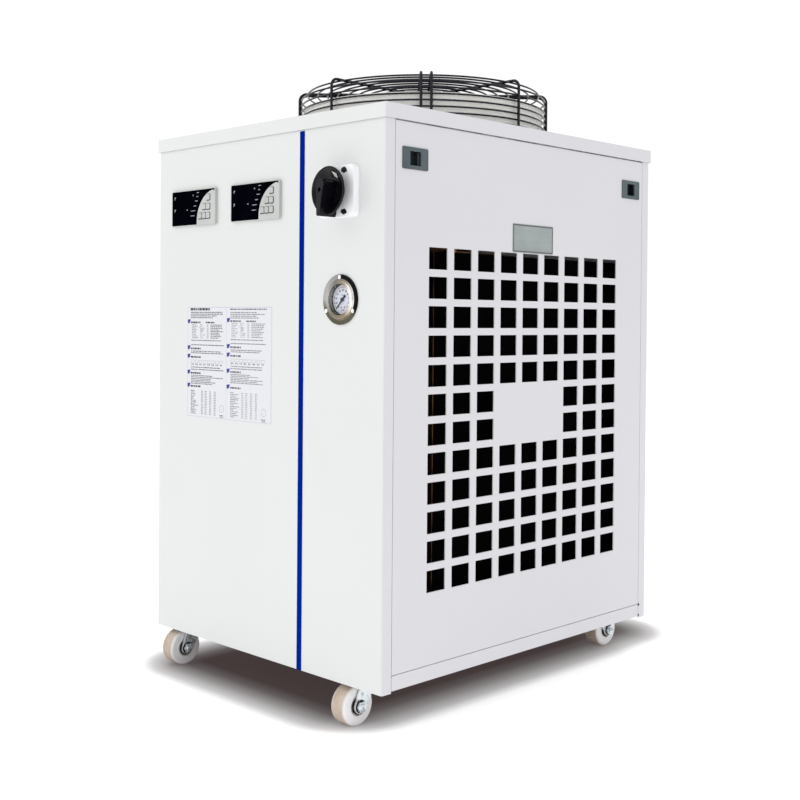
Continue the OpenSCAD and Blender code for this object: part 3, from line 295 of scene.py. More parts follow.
def turned_steel(name):
    """Polished steel with turning marks round the gauge's axis, with reflections painted into its
    colour, which changes round the flange and the raised ring.
    """
    f = Finish(name)
    x, _, z = (c * MM for c in front_centre("gauge_dial"))
    place = f.axes(f.place)
    u = f.math("SUBTRACT", place["X"], x)
    v = f.math("SUBTRACT", place["Z"], z)
    radius = f.math("SQRT", f.math("ADD", f.math("MULTIPLY", u, u), f.math("MULTIPLY", v, v)))
    turn = f.math("ADD", f.math("DIVIDE", f.math("ARCTAN2", v, u), 2 * math.pi), 0.5)
    rings = f.tree.nodes.new("ShaderNodeTexNoise")
    rings.noise_dimensions = "1D"
    f.plug(radius, rings.inputs["W"])
    f.plug(2600.0, rings.inputs["Scale"])
    # Painted reflection: light and dark bands round the flange, black from the lower right round to the
    # top.
    flange = f.ramp(
        turn,
        (0.0, (0.42, 0.41, 0.40)),
        (0.06, (0.16, 0.14, 0.10)),
        (0.20, (0.10, 0.095, 0.07)),
        (0.40, (0.13, 0.12, 0.09)),
        (0.42, (0.008, 0.008, 0.009)),
        (0.74, (0.008, 0.008, 0.009)),
        (0.77, (0.30, 0.29, 0.29)),
        (0.92, (0.46, 0.45, 0.46)),
    )
    # Painted reflection on the raised ring: grey, brown and dark round most of it, with a near-white
    # painted highlight on the right.
    ring = f.ramp(
        turn,
        (0.0, (0.50, 0.49, 0.46)),
        (0.15, (0.22, 0.20, 0.16)),
        (0.33, (0.30, 0.23, 0.16)),
        (0.45, (0.86, 0.84, 0.80)),
        (0.58, (0.95, 0.94, 0.92)),
        (0.68, (0.34, 0.28, 0.22)),
        (0.80, (0.22, 0.20, 0.18)),
        (0.95, (0.50, 0.49, 0.46)),
    )
    on_ring = f.spread(radius, 1.0, 0.0, GAUGE_RING_R * MM, (GAUGE_RING_R + 0.6) * MM)
    f.put(
        Base_Color=f.mix(on_ring, flange, ring),
        Metallic=1.0,
        Roughness=f.spread(rings.outputs[0], 0.10, 0.2),
    )
    return f.soften(0.3).bump(rings.outputs[0], 0.004).material


def clear_lens(name):
    """A flat lens: seen through, with its gloss rising towards a slanting view."""
    f = Finish(name)
    f.tree.nodes.remove(f.shader)
    through = f.tree.nodes.new("ShaderNodeBsdfTransparent")
    gloss = f.tree.nodes.new("ShaderNodeBsdfGlossy")
    tilt = f.tree.nodes.new("ShaderNodeLayerWeight")
    blend = f.tree.nodes.new("ShaderNodeMixShader")
    tint = f.ramp(f.noise(50.0), (0.3, (0.93, 0.95, 0.96)), (0.7, (0.97, 0.98, 0.99)))
    f.plug(tint, through.inputs[0])
    f.plug(f.spread(f.noise(70.0), 0.02, 0.06), gloss.inputs["Roughness"])
    f.plug(f.spread(tilt.outputs["Facing"], 0.015, 0.35, 0.35, 1.0), blend.inputs[0])
    f.plug(through.outputs[0], blend.inputs[1])
    f.plug(gloss.outputs[0], blend.inputs[2])
    f.plug(blend.outputs[0], f.output.inputs["Surface"])
    return f.material


def two_tone_screws(name):
    """Blackened screws, but bright ones round the gauge."""
    f = Finish(name)
    bright = f.near(front_centre("gauge_dial"), GAUGE_SCREWS_IN)
    f.put(
        Base_Color=f.mix(
            bright,
            f.ramp(f.noise(300.0), (0.3, (0.012, 0.012, 0.014)), (0.7, (0.03, 0.03, 0.033))),
            (0.85, 0.85, 0.86),
        ),
        Metallic=f.spread(bright, 0.4, 1.0, 0.0, 1.0),
        Roughness=f.spread(f.noise(500.0), 0.22, 0.4),
    )
    return f.soften(0.2).bump(f.noise(900.0), 0.01).material


def copper(name, tarnish, bright):
    """Copper tube with brown oxide where it was heated; bright scales all its tones, and below 1 darkens
    them as painted shade.
    """
    f = Finish(name)
    tones = ((0.60, 0.26, 0.13), (0.80, 0.42, 0.24), (0.16, 0.06, 0.04))
    low, high, oxide = (tuple(bright * c for c in tone) for tone in tones)
    fresh = f.ramp(f.noise(45.0, 4.0), (0.3, low), (0.7, high))
    heated = f.spread(f.noise(16.0, 3.0, shift=2.0), 0.0, tarnish, 0.45, 0.7)
    f.put(
        Base_Color=f.mix(heated, fresh, oxide),
        Metallic=1.0,
        Roughness=f.spread(f.noise(180.0, 3.0), 0.25, 0.45),
    )
    return f.bump(f.noise(700.0), 0.01).material


def nylon_painted_tread_shade(name):
    """Nylon wheels: pale flat sides, and a darker brown tread as painted shade."""
    f = Finish(name)
    side = f.sideways(0.05, 0.8)
    # Painted shade: the tread's colour is brown and much darker than that of the flat sides.
    tread = f.ramp(f.noise(55.0, 4.0), (0.3, (0.42, 0.33, 0.25)), (0.7, (0.60, 0.50, 0.42)))
    pale_side = f.ramp(f.noise(38.0, 3.0), (0.3, (0.84, 0.82, 0.83)), (0.7, (0.91, 0.89, 0.90)))
    f.put(
        Base_Color=f.mix(side, tread, pale_side),
        Roughness=f.spread(f.noise(160.0, 3.0), 0.34, 0.5),
    )
    return f.soften(0.5).bump(f.noise(1900.0, 2.0), 0.02).material


def printed(name, low, high):
    """Ink or printed foil with a slightly broken tone."""
    f = Finish(name)
    f.put(
        Base_Color=f.ramp(f.noise(700.0, 3.0), (0.3, low), (0.7, high)),
        Roughness=f.spread(f.noise(250.0), 0.4, 0.6),
    )
    return f.bump(f.noise(1500.0), 0.004).material


# Pieces


class Shape:
    """Vertices and faces of one piece in the part's frame."""

    def __init__(self):
        self.points, self.faces, self.slots = [], [], []

    def add(self, points, faces, slot=0):
        start = len(self.points)
        self.points += points
        self.faces += [[start + i for i in face] for face in faces]
        self.slots += [slot] * len(faces)

    def box(self, low, high, slot=0):
        xs, ys, zs = zip(low, high)
        points = [(x, y, z) for x in xs for y in ys for z in zs]
        sides = [(0, 1, 3, 2), (4, 6, 7, 5), (0, 4, 5, 1), (2, 3, 7, 6), (0, 2, 6, 4), (1, 5, 7, 3)]
        self.add(points, sides, slot)

    def patch(self, place, outline, h, slot=0):
        self.add([place(u, v, h) for u, v in outline], [tuple(range(len(outline)))], slot)

    def prism(self, place, outline, h0, h1, slot=0):
        n = len(outline)
        points = [place(u, v, h) for h in (h0, h1) for u, v in outline]
        walls = [(i, (i + 1) % n, n + (i + 1) % n, n + i) for i in range(n)]
        self.add(points, [tuple(range(n))[::-1], tuple(range(n, 2 * n))] + walls, slot)

    def band(self, place, inner, outer, h, slot=0):
        """The strip between two outlines with the same number of points."""
        n = len(inner)
        points = [place(u, v, h) for u, v in inner + outer]
        self.add(points, [(i, n + i, n + (i + 1) % n, (i + 1) % n) for i in range(n)], slot)

    def tube(self, start, end, radius, sides, slot):
        a, b = Vector(start), Vector(end)
        along = (b - a).normalized()
        across = along.orthogonal().normalized()
        other = along.cross(across)
        turns = [2 * math.pi * i / sides for i in range(sides)]
        rim = [radius * (math.cos(t) * across + math.sin(t) * other) for t in turns]
        points = [tuple(c + r) for c in (a, b) for r in rim]
        walls = [(i, (i + 1) % sides, sides + (i + 1) % sides, sides + i) for i in range(sides)]
        self.add(points, walls + [tuple(range(sides))[::-1], tuple(range(sides, 2 * sides))], slot)

    def piece(self, name, body, materials):
        mesh = bpy.data.meshes.new(name)
        mesh.from_pydata([[c * MM for c in p] for p in self.points], [], self.faces)
        for material in materials:
            mesh.materials.append(material)
        for polygon, slot in zip(mesh.polygons, self.slots):
            polygon.material_index = slot
            polygon.use_smooth = False
        mesh.update()
        obj = bpy.data.objects.new(name, mesh)
        bpy.context.scene.collection.objects.link(obj)
        if body:
            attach(obj, body)
        return obj


def rect(u0, v0, u1, v1):
    return [(u0, v0), (u1, v0), (u1, v1), (u0, v1)]


def round_rect(u, v, w, h, r):
    outline, steps = [], 5
    across, up = w / 2 - r, h / 2 - r
    for k, (su, sv) in enumerate(((1, 1), (-1, 1), (-1, -1), (1, -1))):
        for i in range(steps + 1):
            t = math.pi / 2 * (k + i / steps)
            outline.append((u + su * across + r * math.cos(t), v + sv * up + r * math.sin(t)))
    return outline


def disc(u, v, r, n=24):
    turns = (2 * math.pi * i / n for i in range(n))
    return [(u + r * math.cos(t), v + r * math.sin(t)) for t in turns]


def fin_comb():
    """The condenser's thin fins with their tubes, in place of the coarse comb of the rigid model."""
    low, high = (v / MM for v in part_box("condenser_fins"))
    shape = Shape()
    pitch, thickness, tube_r, rows = 2.1, 0.25, 4.8, 18
    for i in range(int((high.y - low.y) / pitch)):
        y = low.y + i * pitch
        shape.box((low.x, y, low.z), (high.x, y + thickness, high.z))
    middle = (low.x + high.x) / 2
    for i in range(rows):
        z = low.z + (i + 0.5) * (high.z - low.z) / rows
        shape.tube((middle, low.y, z), (middle, high.y, z), tube_r, 12, 1)
    obj = shape.piece("fin_comb", "cabinet", [LOOKS["black_fins"], LOOKS["copper_painted_shade"]])
    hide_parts("condenser_fins")


def words(shape, place, x0, x1, y, size=1.1, slot=0, word=(2.0, 7.0)):
    """A line of generic dashes from x0 to x1 at y down, as fractions of the sheet's width and height."""
    u, end = x0 * SHEET_W, x1 * SHEET_W
    v = -y * SHEET_H
    half = 0.62 * size
    while u < end:
        length = min(random.uniform(*word), end - u)
        shape.patch(place, rect(u, v - half, u + length, v + half), 0.0, slot)
        u += length + random.uniform(0.7, 1.5)


def sheet_column(shape, place, x, marks, bold):
    """One column of the printed sheet: five marked sections of dashes, boxes and a table."""
    head, text, blue = (0, 1, 2) if bold else (1, 3, 2)
    for y in marks:
        u, v = (x + 0.022) * SHEET_W, -y * SHEET_H
        tag = [(-3.3, 2.6), (-3.0, -2.2), (-0.4, -3.2), (2.3, -1.2), (3.8, 3.2)]
        shape.patch(place, [(u + du, v + dv) for du, dv in tag], 0.0, blue)
        words(shape, place, x + 0.045, x + 0.17, y + 0.008, 1.9, head)
    words(shape, place, x + 0.04, x + (0.28 if bold else 0.46), 0.024, 2.6 if bold else 1.3, head)
    for k in range(4):
        words(shape, place, x + 0.045, x + random.uniform(0.3, 0.46), 0.052 + 0.016 * k, 1.0, text)
    words(shape, place, x + 0.23, x + 0.34, marks[0] + 0.008, 1.6, head)
    top = marks[0] + 0.03
    list_ink = head if bold else text
    for u, y in ((0.15, 0.03), (0.18, 0.075)):
        u, v = (x + u) * SHEET_W, -(top + y) * SHEET_H
        shape.patch(place, [(u, v), (u + 0.5, v), (u + 4.0, v + 6.0), (u + 3.5, v + 6.0)], 0.0, text)
        shape.band(place, disc(u + 5.0, v - 2.0, 1.3, 12), disc(u + 5.0, v - 2.0, 1.7, 12), 0.0, text)
    for k in range(9):
        y = top + 0.0145 * k
        words(shape, place, x + 0.06, x + random.uniform(0.1, 0.14), y, 0.8, text, (1.0, 3.0))
        words(shape, place, x + 0.165, x + random.uniform(0.18, 0.22), y, 0.7, text, (0.8, 2.0))
        words(shape, place, x + 0.245, x + 0.265, y, 0.9, text, (1.0, 2.0))
        words(shape, place, x + 0.29, x + random.uniform(0.38, 0.46), y, 0.9, list_ink, (1.5, 4.0))
    words(shape, place, x + 0.05, x + 0.42, top + 0.14, 1.0, text)
    words(shape, place, x + 0.05, x + 0.45, marks[1] - 0.025, 1.0, text, (4.0, 8.0))
    for k in range(2):
        y = marks[1] + 0.032 + 0.016 * k
        words(shape, place, x + 0.05, x + random.uniform(0.36, 0.45), y, 1.0, text)
    v, y = -(marks[2] + 0.035) * SHEET_H, marks[2] + 0.074
    for k in range(8):
        u = (x + 0.05 + 0.05 * k) * SHEET_W
        frame_lines(shape, place, u, v - 4.0, u + 7.4, v, 0.3, 3)
        words(shape, place, x + 0.055 + 0.05 * k, x + 0.082 + 0.05 * k, y, 1.3, head, (1.5, 3.0))
    for k in range(2):
        y = marks[2] + 0.1 + 0.02 * k
        words(shape, place, x + 0.05, x + random.uniform(0.4, 0.46), y, 1.0, text)
    for k in range(6):
        y = marks[3] + 0.03 + 0.0145 * k
        words(shape, place, x + 0.05, x + random.uniform(0.26, 0.45), y, 0.9, text)
    rows = 14
    start = marks[4] + 0.05
    step = (0.965 - start) / rows
    for k in range(rows + 1):
        y = start + step * k
        ink = text if k % 4 else head
        words(shape, place, x + 0.05, x + random.uniform(0.08, 0.15), y, 0.9, ink, (1.0, 4.0))
        for column in (0.18, 0.225, 0.28, 0.335):
            words(shape, place, x + column, x + column + 0.022, y, 0.9, text, (0.9, 2.4))
    u, v = (x + 0.43) * SHEET_W, -0.905 * SHEET_H
    shape.band(place, disc(u, v, 4.6), disc(u, v, 5.0), 0.0, 3)
    shape.patch(place, disc(u, v - 1.2, 0.5, 12), 0.0, text)
    words(shape, place, x + 0.405, x + 0.455, 0.965, 1.2, head, (1.0, 2.5))
    words(shape, place, x + 0.41, x + 0.45, 0.98, 1.2, text, (1.0, 2.5))


def frame_lines(shape, place, u0, v0, u1, v1, width, slot):
    inner = rect(u0 + width, v0 + width, u1 - width, v1 - width)
    shape.band(place, inner, rect(u0, v0, u1, v1), 0.0, slot)


def instruction_sheet():
    """A pale foil with two columns of generic dashes, small boxes, tables and blue marks."""
    middle_u, middle_v = (SHEET_X0 + SHEET_X1) / 2, (SHEET_Z0 + SHEET_Z1) / 2
    foil = Shape()
    foil.prism(on_front(), round_rect(middle_u, middle_v, SHEET_W, SHEET_H, 2.0), SUNK, PAPER_H)
    foil.piece("sheet_foil", "cabinet", [LOOKS["foil"]])
    ink = Shape()
    place = on_front(SHEET_X0, SHEET_Z1, PAPER_H + INK_H)
    frame_lines(ink, place, 1.0, 1.0 - SHEET_H, SHEET_W - 1.0, -1.0, 0.45, 4)
    u = 0.483 * SHEET_W
    ink.patch(place, rect(u - 0.2, 1.0 - SHEET_H, u + 0.2, -1.0), 0.0, 4)
    sheet_column(ink, place, 0.0, (0.135, 0.371, 0.448, 0.593, 0.712), True)
    sheet_column(ink, place, 0.483, (0.12, 0.348, 0.423, 0.564, 0.703), False)
    inks = [LOOKS[name] for name in ("ink_black", "ink_grey", "ink_blue", "ink_pale", "ink_line")]
    ink.piece("sheet_print", "cabinet", inks)


def bare_plate():
    """The small bare plate with a border line on the side panel."""
    place = on_right(0.0, PLATE_Z)
    thickness, corner = 0.5, 1.5
    plate = Shape()
    plate.prism(place, round_rect(0.0, 0.0, PLATE_W, PLATE_H, corner), SUNK, thickness)
    plate.piece("side_plate", "cabinet", [LOOKS["plate_grey"]])
    inner = round_rect(0.0, 0.0, PLATE_W - 5.0, PLATE_H - 5.0, 1.0)
    outer = round_rect(0.0, 0.0, PLATE_W - 1.4, PLATE_H - 1.6, corner)
    border = Shape()
    border.band(place, inner, outer, thickness + INK_H)
    border.piece("side_plate_border", "cabinet", [LOOKS["ink_dark"]])


def display_marks(side):
    """Generic pale marks on a controller's window."""
    left_of_key, above_key = 35.0, 12.3
    key_x, _, key_z = front_centre(side + "_key_6")
    proud = FRONT_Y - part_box("display_windows")[0].y / MM
    marks = Shape()
    place = on_front(key_x - left_of_key, key_z + above_key, proud + INK_H)
    lines = (
        (11.0, 20.2, 5.0),
        (10.0, 14.9, 4.0),
        (8.0, 8.9, 6.5),
        (4.5, 2.1, 6.0),
        (0.5, -4.5, 9.5),
        (-1.0, -11.3, 9.0),
    )
    for u, v, w in lines:
        x = u - w / 2
        while x < u + w / 2:
            length = min(random.uniform(0.8, 1.6), u + w / 2 - x)
            marks.patch(place, rect(x, v - 0.5, x + length, v + 0.5), 0.0)
            x += length + 0.35
    for u, v in ((-0.1, 17.0), (-14.0, -2.4)):
        marks.band(place, disc(u, v, 0.55, 12), disc(u, v, 0.95, 12), 0.0)
        marks.patch(place, rect(u + 1.1, v - 1.3, u + 1.5, v + 0.6), 0.0)
    for v in (14.8, -2.6):
        marks.patch(place, rect(-44.0, v - 2.1, -43.2, v + 2.1), 0.0)
        marks.patch(place, rect(-43.0, v + 0.2, -41.8, v + 2.1), 0.0)
    marks.piece(side + "_display_marks", "cabinet", [LOOKS["mark_pale"]])


def dial_print():
    """Scale ticks, generic figures and the red mark on the gauge's dial, with a dark ring of painted
    shade round its edge.
    """
    x, y, z = front_centre("gauge_dial")
    place = on_front(x, z, FRONT_Y - y + INK_H)
    ink = Shape()
    start, sweep, ticks, tick_r = 225, 270, 50, 16.8
    for i in range(ticks + 1):
        t = math.radians(start - sweep * i / ticks)
        major = i % 5 == 0
        inner, half = (14.4, 0.28) if major else (15.6, 0.12)
        along = Vector((math.cos(t), math.sin(t)))
        side = Vector((-along.y, along.x)) * half
        near, far = along * inner, along * tick_r
        ink.patch(place, [tuple(c) for c in (near - side, far - side, far + side, near + side)], 0.0, 0)
        if major:
            c = along * 11.8
            for k in (-1.3, 0.6):
                ink.patch(place, rect(c.x + k, c.y - 1.2, c.x + k + 0.8, c.y + 1.2), 0.0, 0)
            ink.patch(place, rect(c.x - 0.5, c.y - 1.2, c.x + 0.6, c.y - 0.6), 0.0, 0)
    arc = [math.radians(start - sweep * i / 60) for i in range(61)]
    for a, b in zip(arc, arc[1:]):
        ends = ((15.0, a), (15.0, b), (15.3, b), (15.3, a))
        ink.patch(place, [(r * math.cos(t), r * math.sin(t)) for r, t in ends], 0.0, 1)
    for u in (-3.0, 3.0):
        ink.patch(place, disc(u, -9.4, 1.0, 12), 0.0, 0)
    ink.patch(place, rect(-2.6, -13.4, 2.6, -12.0), 0.0, 1)
    # A dark ring round the dial's edge: the gap under the gauge's raised ring, with painted shade there.
    ink.band(place, disc(0.0, 0.0, 17.9, 48), disc(0.0, 0.0, 18.9, 48), 0.0, 0)
    for k in range(3):
        ink.patch(place, rect(-2.2 + 1.7 * k, 5.2, -1.2 + 1.7 * k, 6.2), 0.0, 0)
    ink.piece("dial_print", "cabinet", [LOOKS["ink_black"], LOOKS["ink_red"]])


def knob_mark():
    """The pale mark on the sloping wall of the knob's cup."""
    x, face_y, z = front_centre("switch_plate")
    foot_r, foot_lift, slope = 16.5, 4.3, 0.98
    mark = Shape()

    def place(turn, r, h):
        t = math.radians(turn)
        return (x + r * math.cos(t), face_y - foot_lift - slope * (r - foot_r) - h, z + r * math.sin(t))

    mark.prism(place, rect(57.0, 17.6, 79.0, 23.6), -0.1, 0.12, 0)
    mark.prism(place, rect(65.0, 19.2, 71.0, 22.4), -0.1, 0.2, 1)
    mark.piece("knob_mark", "knob", [LOOKS["mark_cream"], LOOKS["ink_grey"]])


def screw_pocket_painted_shade():
    """Black slanting patches over the switch plate's screw pockets: painted shade in them."""
    x, face_y, z = front_centre("switch_plate")
    across, up = 14.0, 25.0
    # Painted shade: each pocket is covered by a flat black patch just off the plate's face.
    outline = [(-5.4, -1.2), (-2.0, -2.9), (5.6, -2.7), (5.0, 0.9), (2.2, 2.8), (-4.4, 2.7)]
    pockets = Shape()
    for u in (-across, across):
        for v in (-up, up):
            pockets.patch(on_front(x + u, z + v, FRONT_Y - face_y), outline, INK_H)
    pockets.piece("screw_pocket_painted_shade", "cabinet", [LOOKS["rubber_black"]])


def key_gaps_painted_shade(side):
    """The dark line round each key of a controller: its gap, with painted shade that is wider at the
    right and bottom.
    """
    proud = FRONT_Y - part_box("controller_bezels")[0].y / MM
    # The outer outline sits to the right of and below the inner one, so the painted shade is wider
    # there.
    inner, outer = round_rect(0.0, 0.0, 8.2, 8.2, 1.8), round_rect(0.3, -0.35, 9.8, 9.7, 2.2)
    lines = Shape()
    for k in range(1, 7):
        u, _, v = front_centre(f"{side}_key_{k}")
        lines.band(on_front(u, v, proud), inner, outer, INK_H)
    lines.piece(side + "_key_gaps_painted_shade", "cabinet", [LOOKS["ink_black"]])


def window_tail(side):
    """The thin black end of a controller's window along the top edge of its bezel."""
    low, high = (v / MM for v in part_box("controller_bezels"))
    half = BEZEL_W / 2
    middle = low.x + half if side == "left" else high.x - half
    place = on_front(middle + half, (low.z + high.z) / 2 + BEZEL_H / 2, FRONT_Y - low.y)
    outline = [(-13.0, -1.3), (-13.0, -2.6), (-4.4, -3.2), (-2.6, -4.6), (-1.7, -4.2), (-2.2, -1.3)]
    tail = Shape()
    tail.patch(place, outline, INK_H)
    tail.piece(side + "_window_tail", "cabinet", [LOOKS["window_black"]])


def caster_rings():
    """Black rings on the wheels' hubs, in their grooves, and dark rings under the axle nuts."""
    hub_in, leg_in = 1.0, 6.0
    for corner in ("front_right", "front_left", "rear_right", "rear_left"):
        low, high = (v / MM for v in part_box(corner + "_wheel"))
        fork_low, fork_high = (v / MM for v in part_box(corner + "_fork"))
        y, z = (low.y + high.y) / 2, (low.z + high.z) / 2
        hub, leg = Shape(), Shape()
        for way, wheel_x, fork_x in ((1.0, high.x, fork_high.x), (-1.0, low.x, fork_low.x)):
            hub_x, leg_x = wheel_x - way * hub_in, fork_x - way * leg_in
            ring(hub, lambda u, v, h: (hub_x + way * h, y + u, z + v), 7.4, 10.8, 0.35)
            ring(leg, lambda u, v, h: (leg_x + way * h, y + u, z + v), 4.2, 8.2, 0.7)
        hub.piece(corner + "_hub_dark_rings", corner + "_wheel", [LOOKS["rubber_black"]])
        leg.piece(corner + "_nut_dark_rings", corner + "_fork", [LOOKS["rubber_black"]])


def ring(shape, place, inner, outer, height):
    """A flat ring between two radii."""
    n, foot = 32, 0.05
    shape.band(place, disc(0.0, 0.0, inner, n), disc(0.0, 0.0, outer, n), height)
    for r in (inner, outer):
        walls = [place(u, v, h) for h in (foot, height) for u, v in disc(0.0, 0.0, r, n)]
        shape.add(walls, [(i, (i + 1) % n, n + (i + 1) % n, n + i) for i in range(n)])


def corner_rivets():
    """Two blackened rivets where the rail meets the rear panel's folded edge."""
    heads = Shape()
    for z, r in RIVETS:
        heads.prism(on_right(RIVET_Y, z), disc(0.0, 0.0, r, 16), -0.2, 0.5)
    heads.piece("corner_rivets", "cabinet", [LOOKS["rubber_black"]])


def dress_nodes():
    """Gives every node of the frame its finish and smooth shading."""
    table = {
        "white_paint": "front_panel rear_panel right_panel left_panel top_cover base_pan",
        "galvanised": "top_rails electric_box",
        "zinc_plate": "caster_plates front_right_fork front_left_fork rear_right_fork rear_left_fork",
        "black_wire": "fan_guard",
        "cream_paint": "fan_collar",
        "black_paint": "fan_motor fan_impeller compressor",
        "black_fins": "condenser_fins",
        "copper": "refrigerant_pipes",
        "copper_painted_shade": "condenser_coil",
        "tank_plastic": "water_tank",
        "pump_paint": "main_pump second_pump",
        "bezel_grey": "controller_bezels",
        "window_black": "display_windows",
        "switch_white": "switch_plate",
        "knob_black": "switch_knob",
        "polished_steel": "gauge_case",
        "dial_white": "gauge_dial",
        "needle_black": "gauge_needle",
        "lens_glass": "gauge_lens",
        "blue_paint": "blue_strip",
        "latch_grey": "latch_housings",
        "latch_dark": "front_latch_grip rear_latch_grip",
        "nylon": "front_right_wheel front_left_wheel rear_right_wheel rear_left_wheel",
        "brass": "water_ports drain_valve",
        "black_plastic": "fill_neck fill_cap cable_gland level_gauge",
        "handle_red": "drain_handle",
        "screw_steel": "screws",
    }
    finish = {node: look for look, nodes in table.items() for node in nodes.split()}
    for name, node in NODES.items():
        look = finish.get(name, "key_grey")
        node.data.materials.clear()
        node.data.materials.append(LOOKS[look])
        for polygon in node.data.polygons:
            polygon.material_index = 0
        node.data.shade_smooth()


# Low colour, high colour, roughness, depth of the peel, specular
PAINTS = {
    "black_wire": ((0.003, 0.003, 0.009), (0.008, 0.008, 0.018), 0.22, 0.006, 0.3),
    "cream_paint": ((0.92, 0.91, 0.86), (0.96, 0.95, 0.91), 0.4, 0.012, 0.5),
    "black_paint": ((0.010, 0.010, 0.011), (0.022, 0.022, 0.024), 0.45, 0.02, 0.5),
    # The fins' black paint, darkened beyond any black paint as painted shade behind the grille.
    "black_fins": ((0.0012, 0.001, 0.0012), (0.004, 0.0035, 0.004), 0.6, 0.012, 0.06),
    "pump_paint": ((0.035, 0.05, 0.09), (0.05, 0.07, 0.12), 0.4, 0.03, 0.5),
    "blue_paint": ((0.0, 0.012, 0.22), (0.0, 0.018, 0.26), 0.4, 0.012, 0.0),
}
# Low colour, high colour, roughness, depth of the grain, specular, radius of softened edges
PLASTICS = {
    "tank_plastic": ((0.66, 0.68, 0.70), (0.74, 0.76, 0.77), 0.5, 0.02, 0.5, 0.0),
    "bezel_grey": ((0.47, 0.48, 0.465), (0.51, 0.52, 0.505), 0.42, 0.02, 0.5, 0.4),
    "window_black": ((0.0006, 0.0006, 0.002), (0.0016, 0.0016, 0.004), 0.14, 0.002, 0.0, 0.0),
    "key_grey": ((0.43, 0.45, 0.44), (0.49, 0.51, 0.50), 0.5, 0.02, 0.5, 0.5),
    "switch_white": ((0.94, 0.95, 0.97), (0.97, 0.98, 1.0), 0.35, 0.02, 0.5, 0.8),
    "knob_black": ((0.002, 0.002, 0.004), (0.004, 0.004, 0.007), 0.26, 0.02, 0.22, 0.5),
    "latch_grey": ((0.066, 0.089, 0.100), (0.092, 0.118, 0.129), 0.4, 0.03, 0.35, 0.4),
    "latch_dark": ((0.010, 0.015, 0.020), (0.020, 0.028, 0.034), 0.3, 0.03, 0.5, 0.6),
    "black_plastic": ((0.010, 0.010, 0.011), (0.018, 0.018, 0.02), 0.45, 0.04, 0.5, 0.4),
    "handle_red": ((0.42, 0.015, 0.012), (0.52, 0.03, 0.02), 0.4, 0.02, 0.5, 0.4),
    "rubber_black": ((0.004, 0.004, 0.004), (0.010, 0.010, 0.010), 0.5, 0.02, 0.2, 0.0),
}
# Low colour, high colour
PRINTS = {
    "dial_white": ((0.78, 0.77, 0.84), (0.84, 0.83, 0.89)),
    "needle_black": ((0.002, 0.002, 0.002), (0.004, 0.004, 0.004)),
    "foil": ((0.66, 0.665, 0.70), (0.70, 0.705, 0.74)),
    "ink_black": ((0.008, 0.008, 0.012), (0.025, 0.025, 0.03)),
    "ink_dark": ((0.07, 0.07, 0.07), (0.13, 0.13, 0.13)),
    "ink_grey": ((0.06, 0.06, 0.08), (0.11, 0.11, 0.14)),
    "ink_pale": ((0.15, 0.15, 0.18), (0.22, 0.22, 0.26)),
    "ink_line": ((0.38, 0.41, 0.49), (0.46, 0.49, 0.56)),
    "ink_blue": ((0.0, 0.012, 0.20), (0.01, 0.03, 0.27)),
    "ink_red": ((0.55, 0.10, 0.14), (0.66, 0.18, 0.22)),
    "mark_pale": ((0.30, 0.32, 0.36), (0.44, 0.46, 0.50)),
    "mark_cream": ((0.66, 0.66, 0.56), (0.78, 0.78, 0.70)),
}
LOOKS = {
    "white_paint": cabinet_paint("white_paint"),
    "galvanised": spangled("galvanised"),
    "zinc_plate": passivated("zinc_plate"),
    "copper": copper("copper", 0.7, 1.0),
    # Painted shade: the condenser's copper at an eighth of the brightness, as it lies in shade behind
    # the grille.
    "copper_painted_shade": copper("copper_painted_shade", 1.0, 0.12),
    "polished_steel": turned_steel("polished_steel"),
    "lens_glass": clear_lens("lens_glass"),
    "nylon": nylon_painted_tread_shade("nylon"),
    "brass": metal("brass", (0.60, 0.46, 0.20), (0.74, 0.58, 0.28), 0.3, edge=0.3),
    "plate_grey": metal("plate_grey", (0.34, 0.38, 0.38), (0.42, 0.46, 0.46), 0.45, (1.0, 0.05, 1.0)),
    "screw_steel": two_tone_screws("screw_steel"),
}
for maker, rows in ((paint, PAINTS), (plastic, PLASTICS), (printed, PRINTS)):
    LOOKS.update((name, maker(name, *values)) for name, values in rows.items())


# Stage


# The painted shadow on the floor is a rounded box: axis, middle and half width, then the corner's radius
SHADE = (("X", -0.031, 0.204), ("Y", 0.055, 0.337))
SHADE_R = 0.06


def floor():
    """A wide white floor, lit from within but for a painted brown shadow under the cabinet."""
    f = Finish("floor_pale")
    place = f.axes(f.place)
    offsets = []
    for axis, middle, half in SHADE:
        off = f.math("ABSOLUTE", f.math("SUBTRACT", place[axis], middle))
        beyond = f.math("MAXIMUM", f.math("SUBTRACT", off, half - SHADE_R), 0.0)
        offsets.append(f.math("MULTIPLY", beyond, beyond))
    reach = f.spread(f.math("SQRT", f.math("ADD", *offsets)), 0.0, 1.0, 0.012, 0.108)
    levels = ((0.0, 0.0), (0.25, 0.07), (0.5, 0.24), (0.75, 0.5), (1.0, 1.0))
    away = f.ramp(reach, *((at, (v, v, v)) for at, v in levels))
    white = f.ramp(f.noise(9.0), (0.3, (0.89, 0.89, 0.89)), (0.7, (0.91, 0.91, 0.91)))
    f.put(
        # Painted shadow: dark brown colour and a dim brown glow inside the rounded box, fading to white
        # outside it.
        Base_Color=f.mix(away, (0.05, 0.042, 0.042), white),
        Emission_Color=f.mix(away, (0.045, 0.032, 0.032), (0.45, 0.45, 0.45)),
        Emission_Strength=1.0,
        Roughness=f.spread(f.noise(9.0), 0.75, 0.9),
        Specular_IOR_Level=0.0,
    )
    f.bump(f.noise(220.0), 0.02)
    size = 9000.0
    shape = Shape()
    shape.patch(lambda u, v, h: (u, v, h), rect(-size, -size, size, size), 0.0)
    shape.piece("floor", None, [f.material])


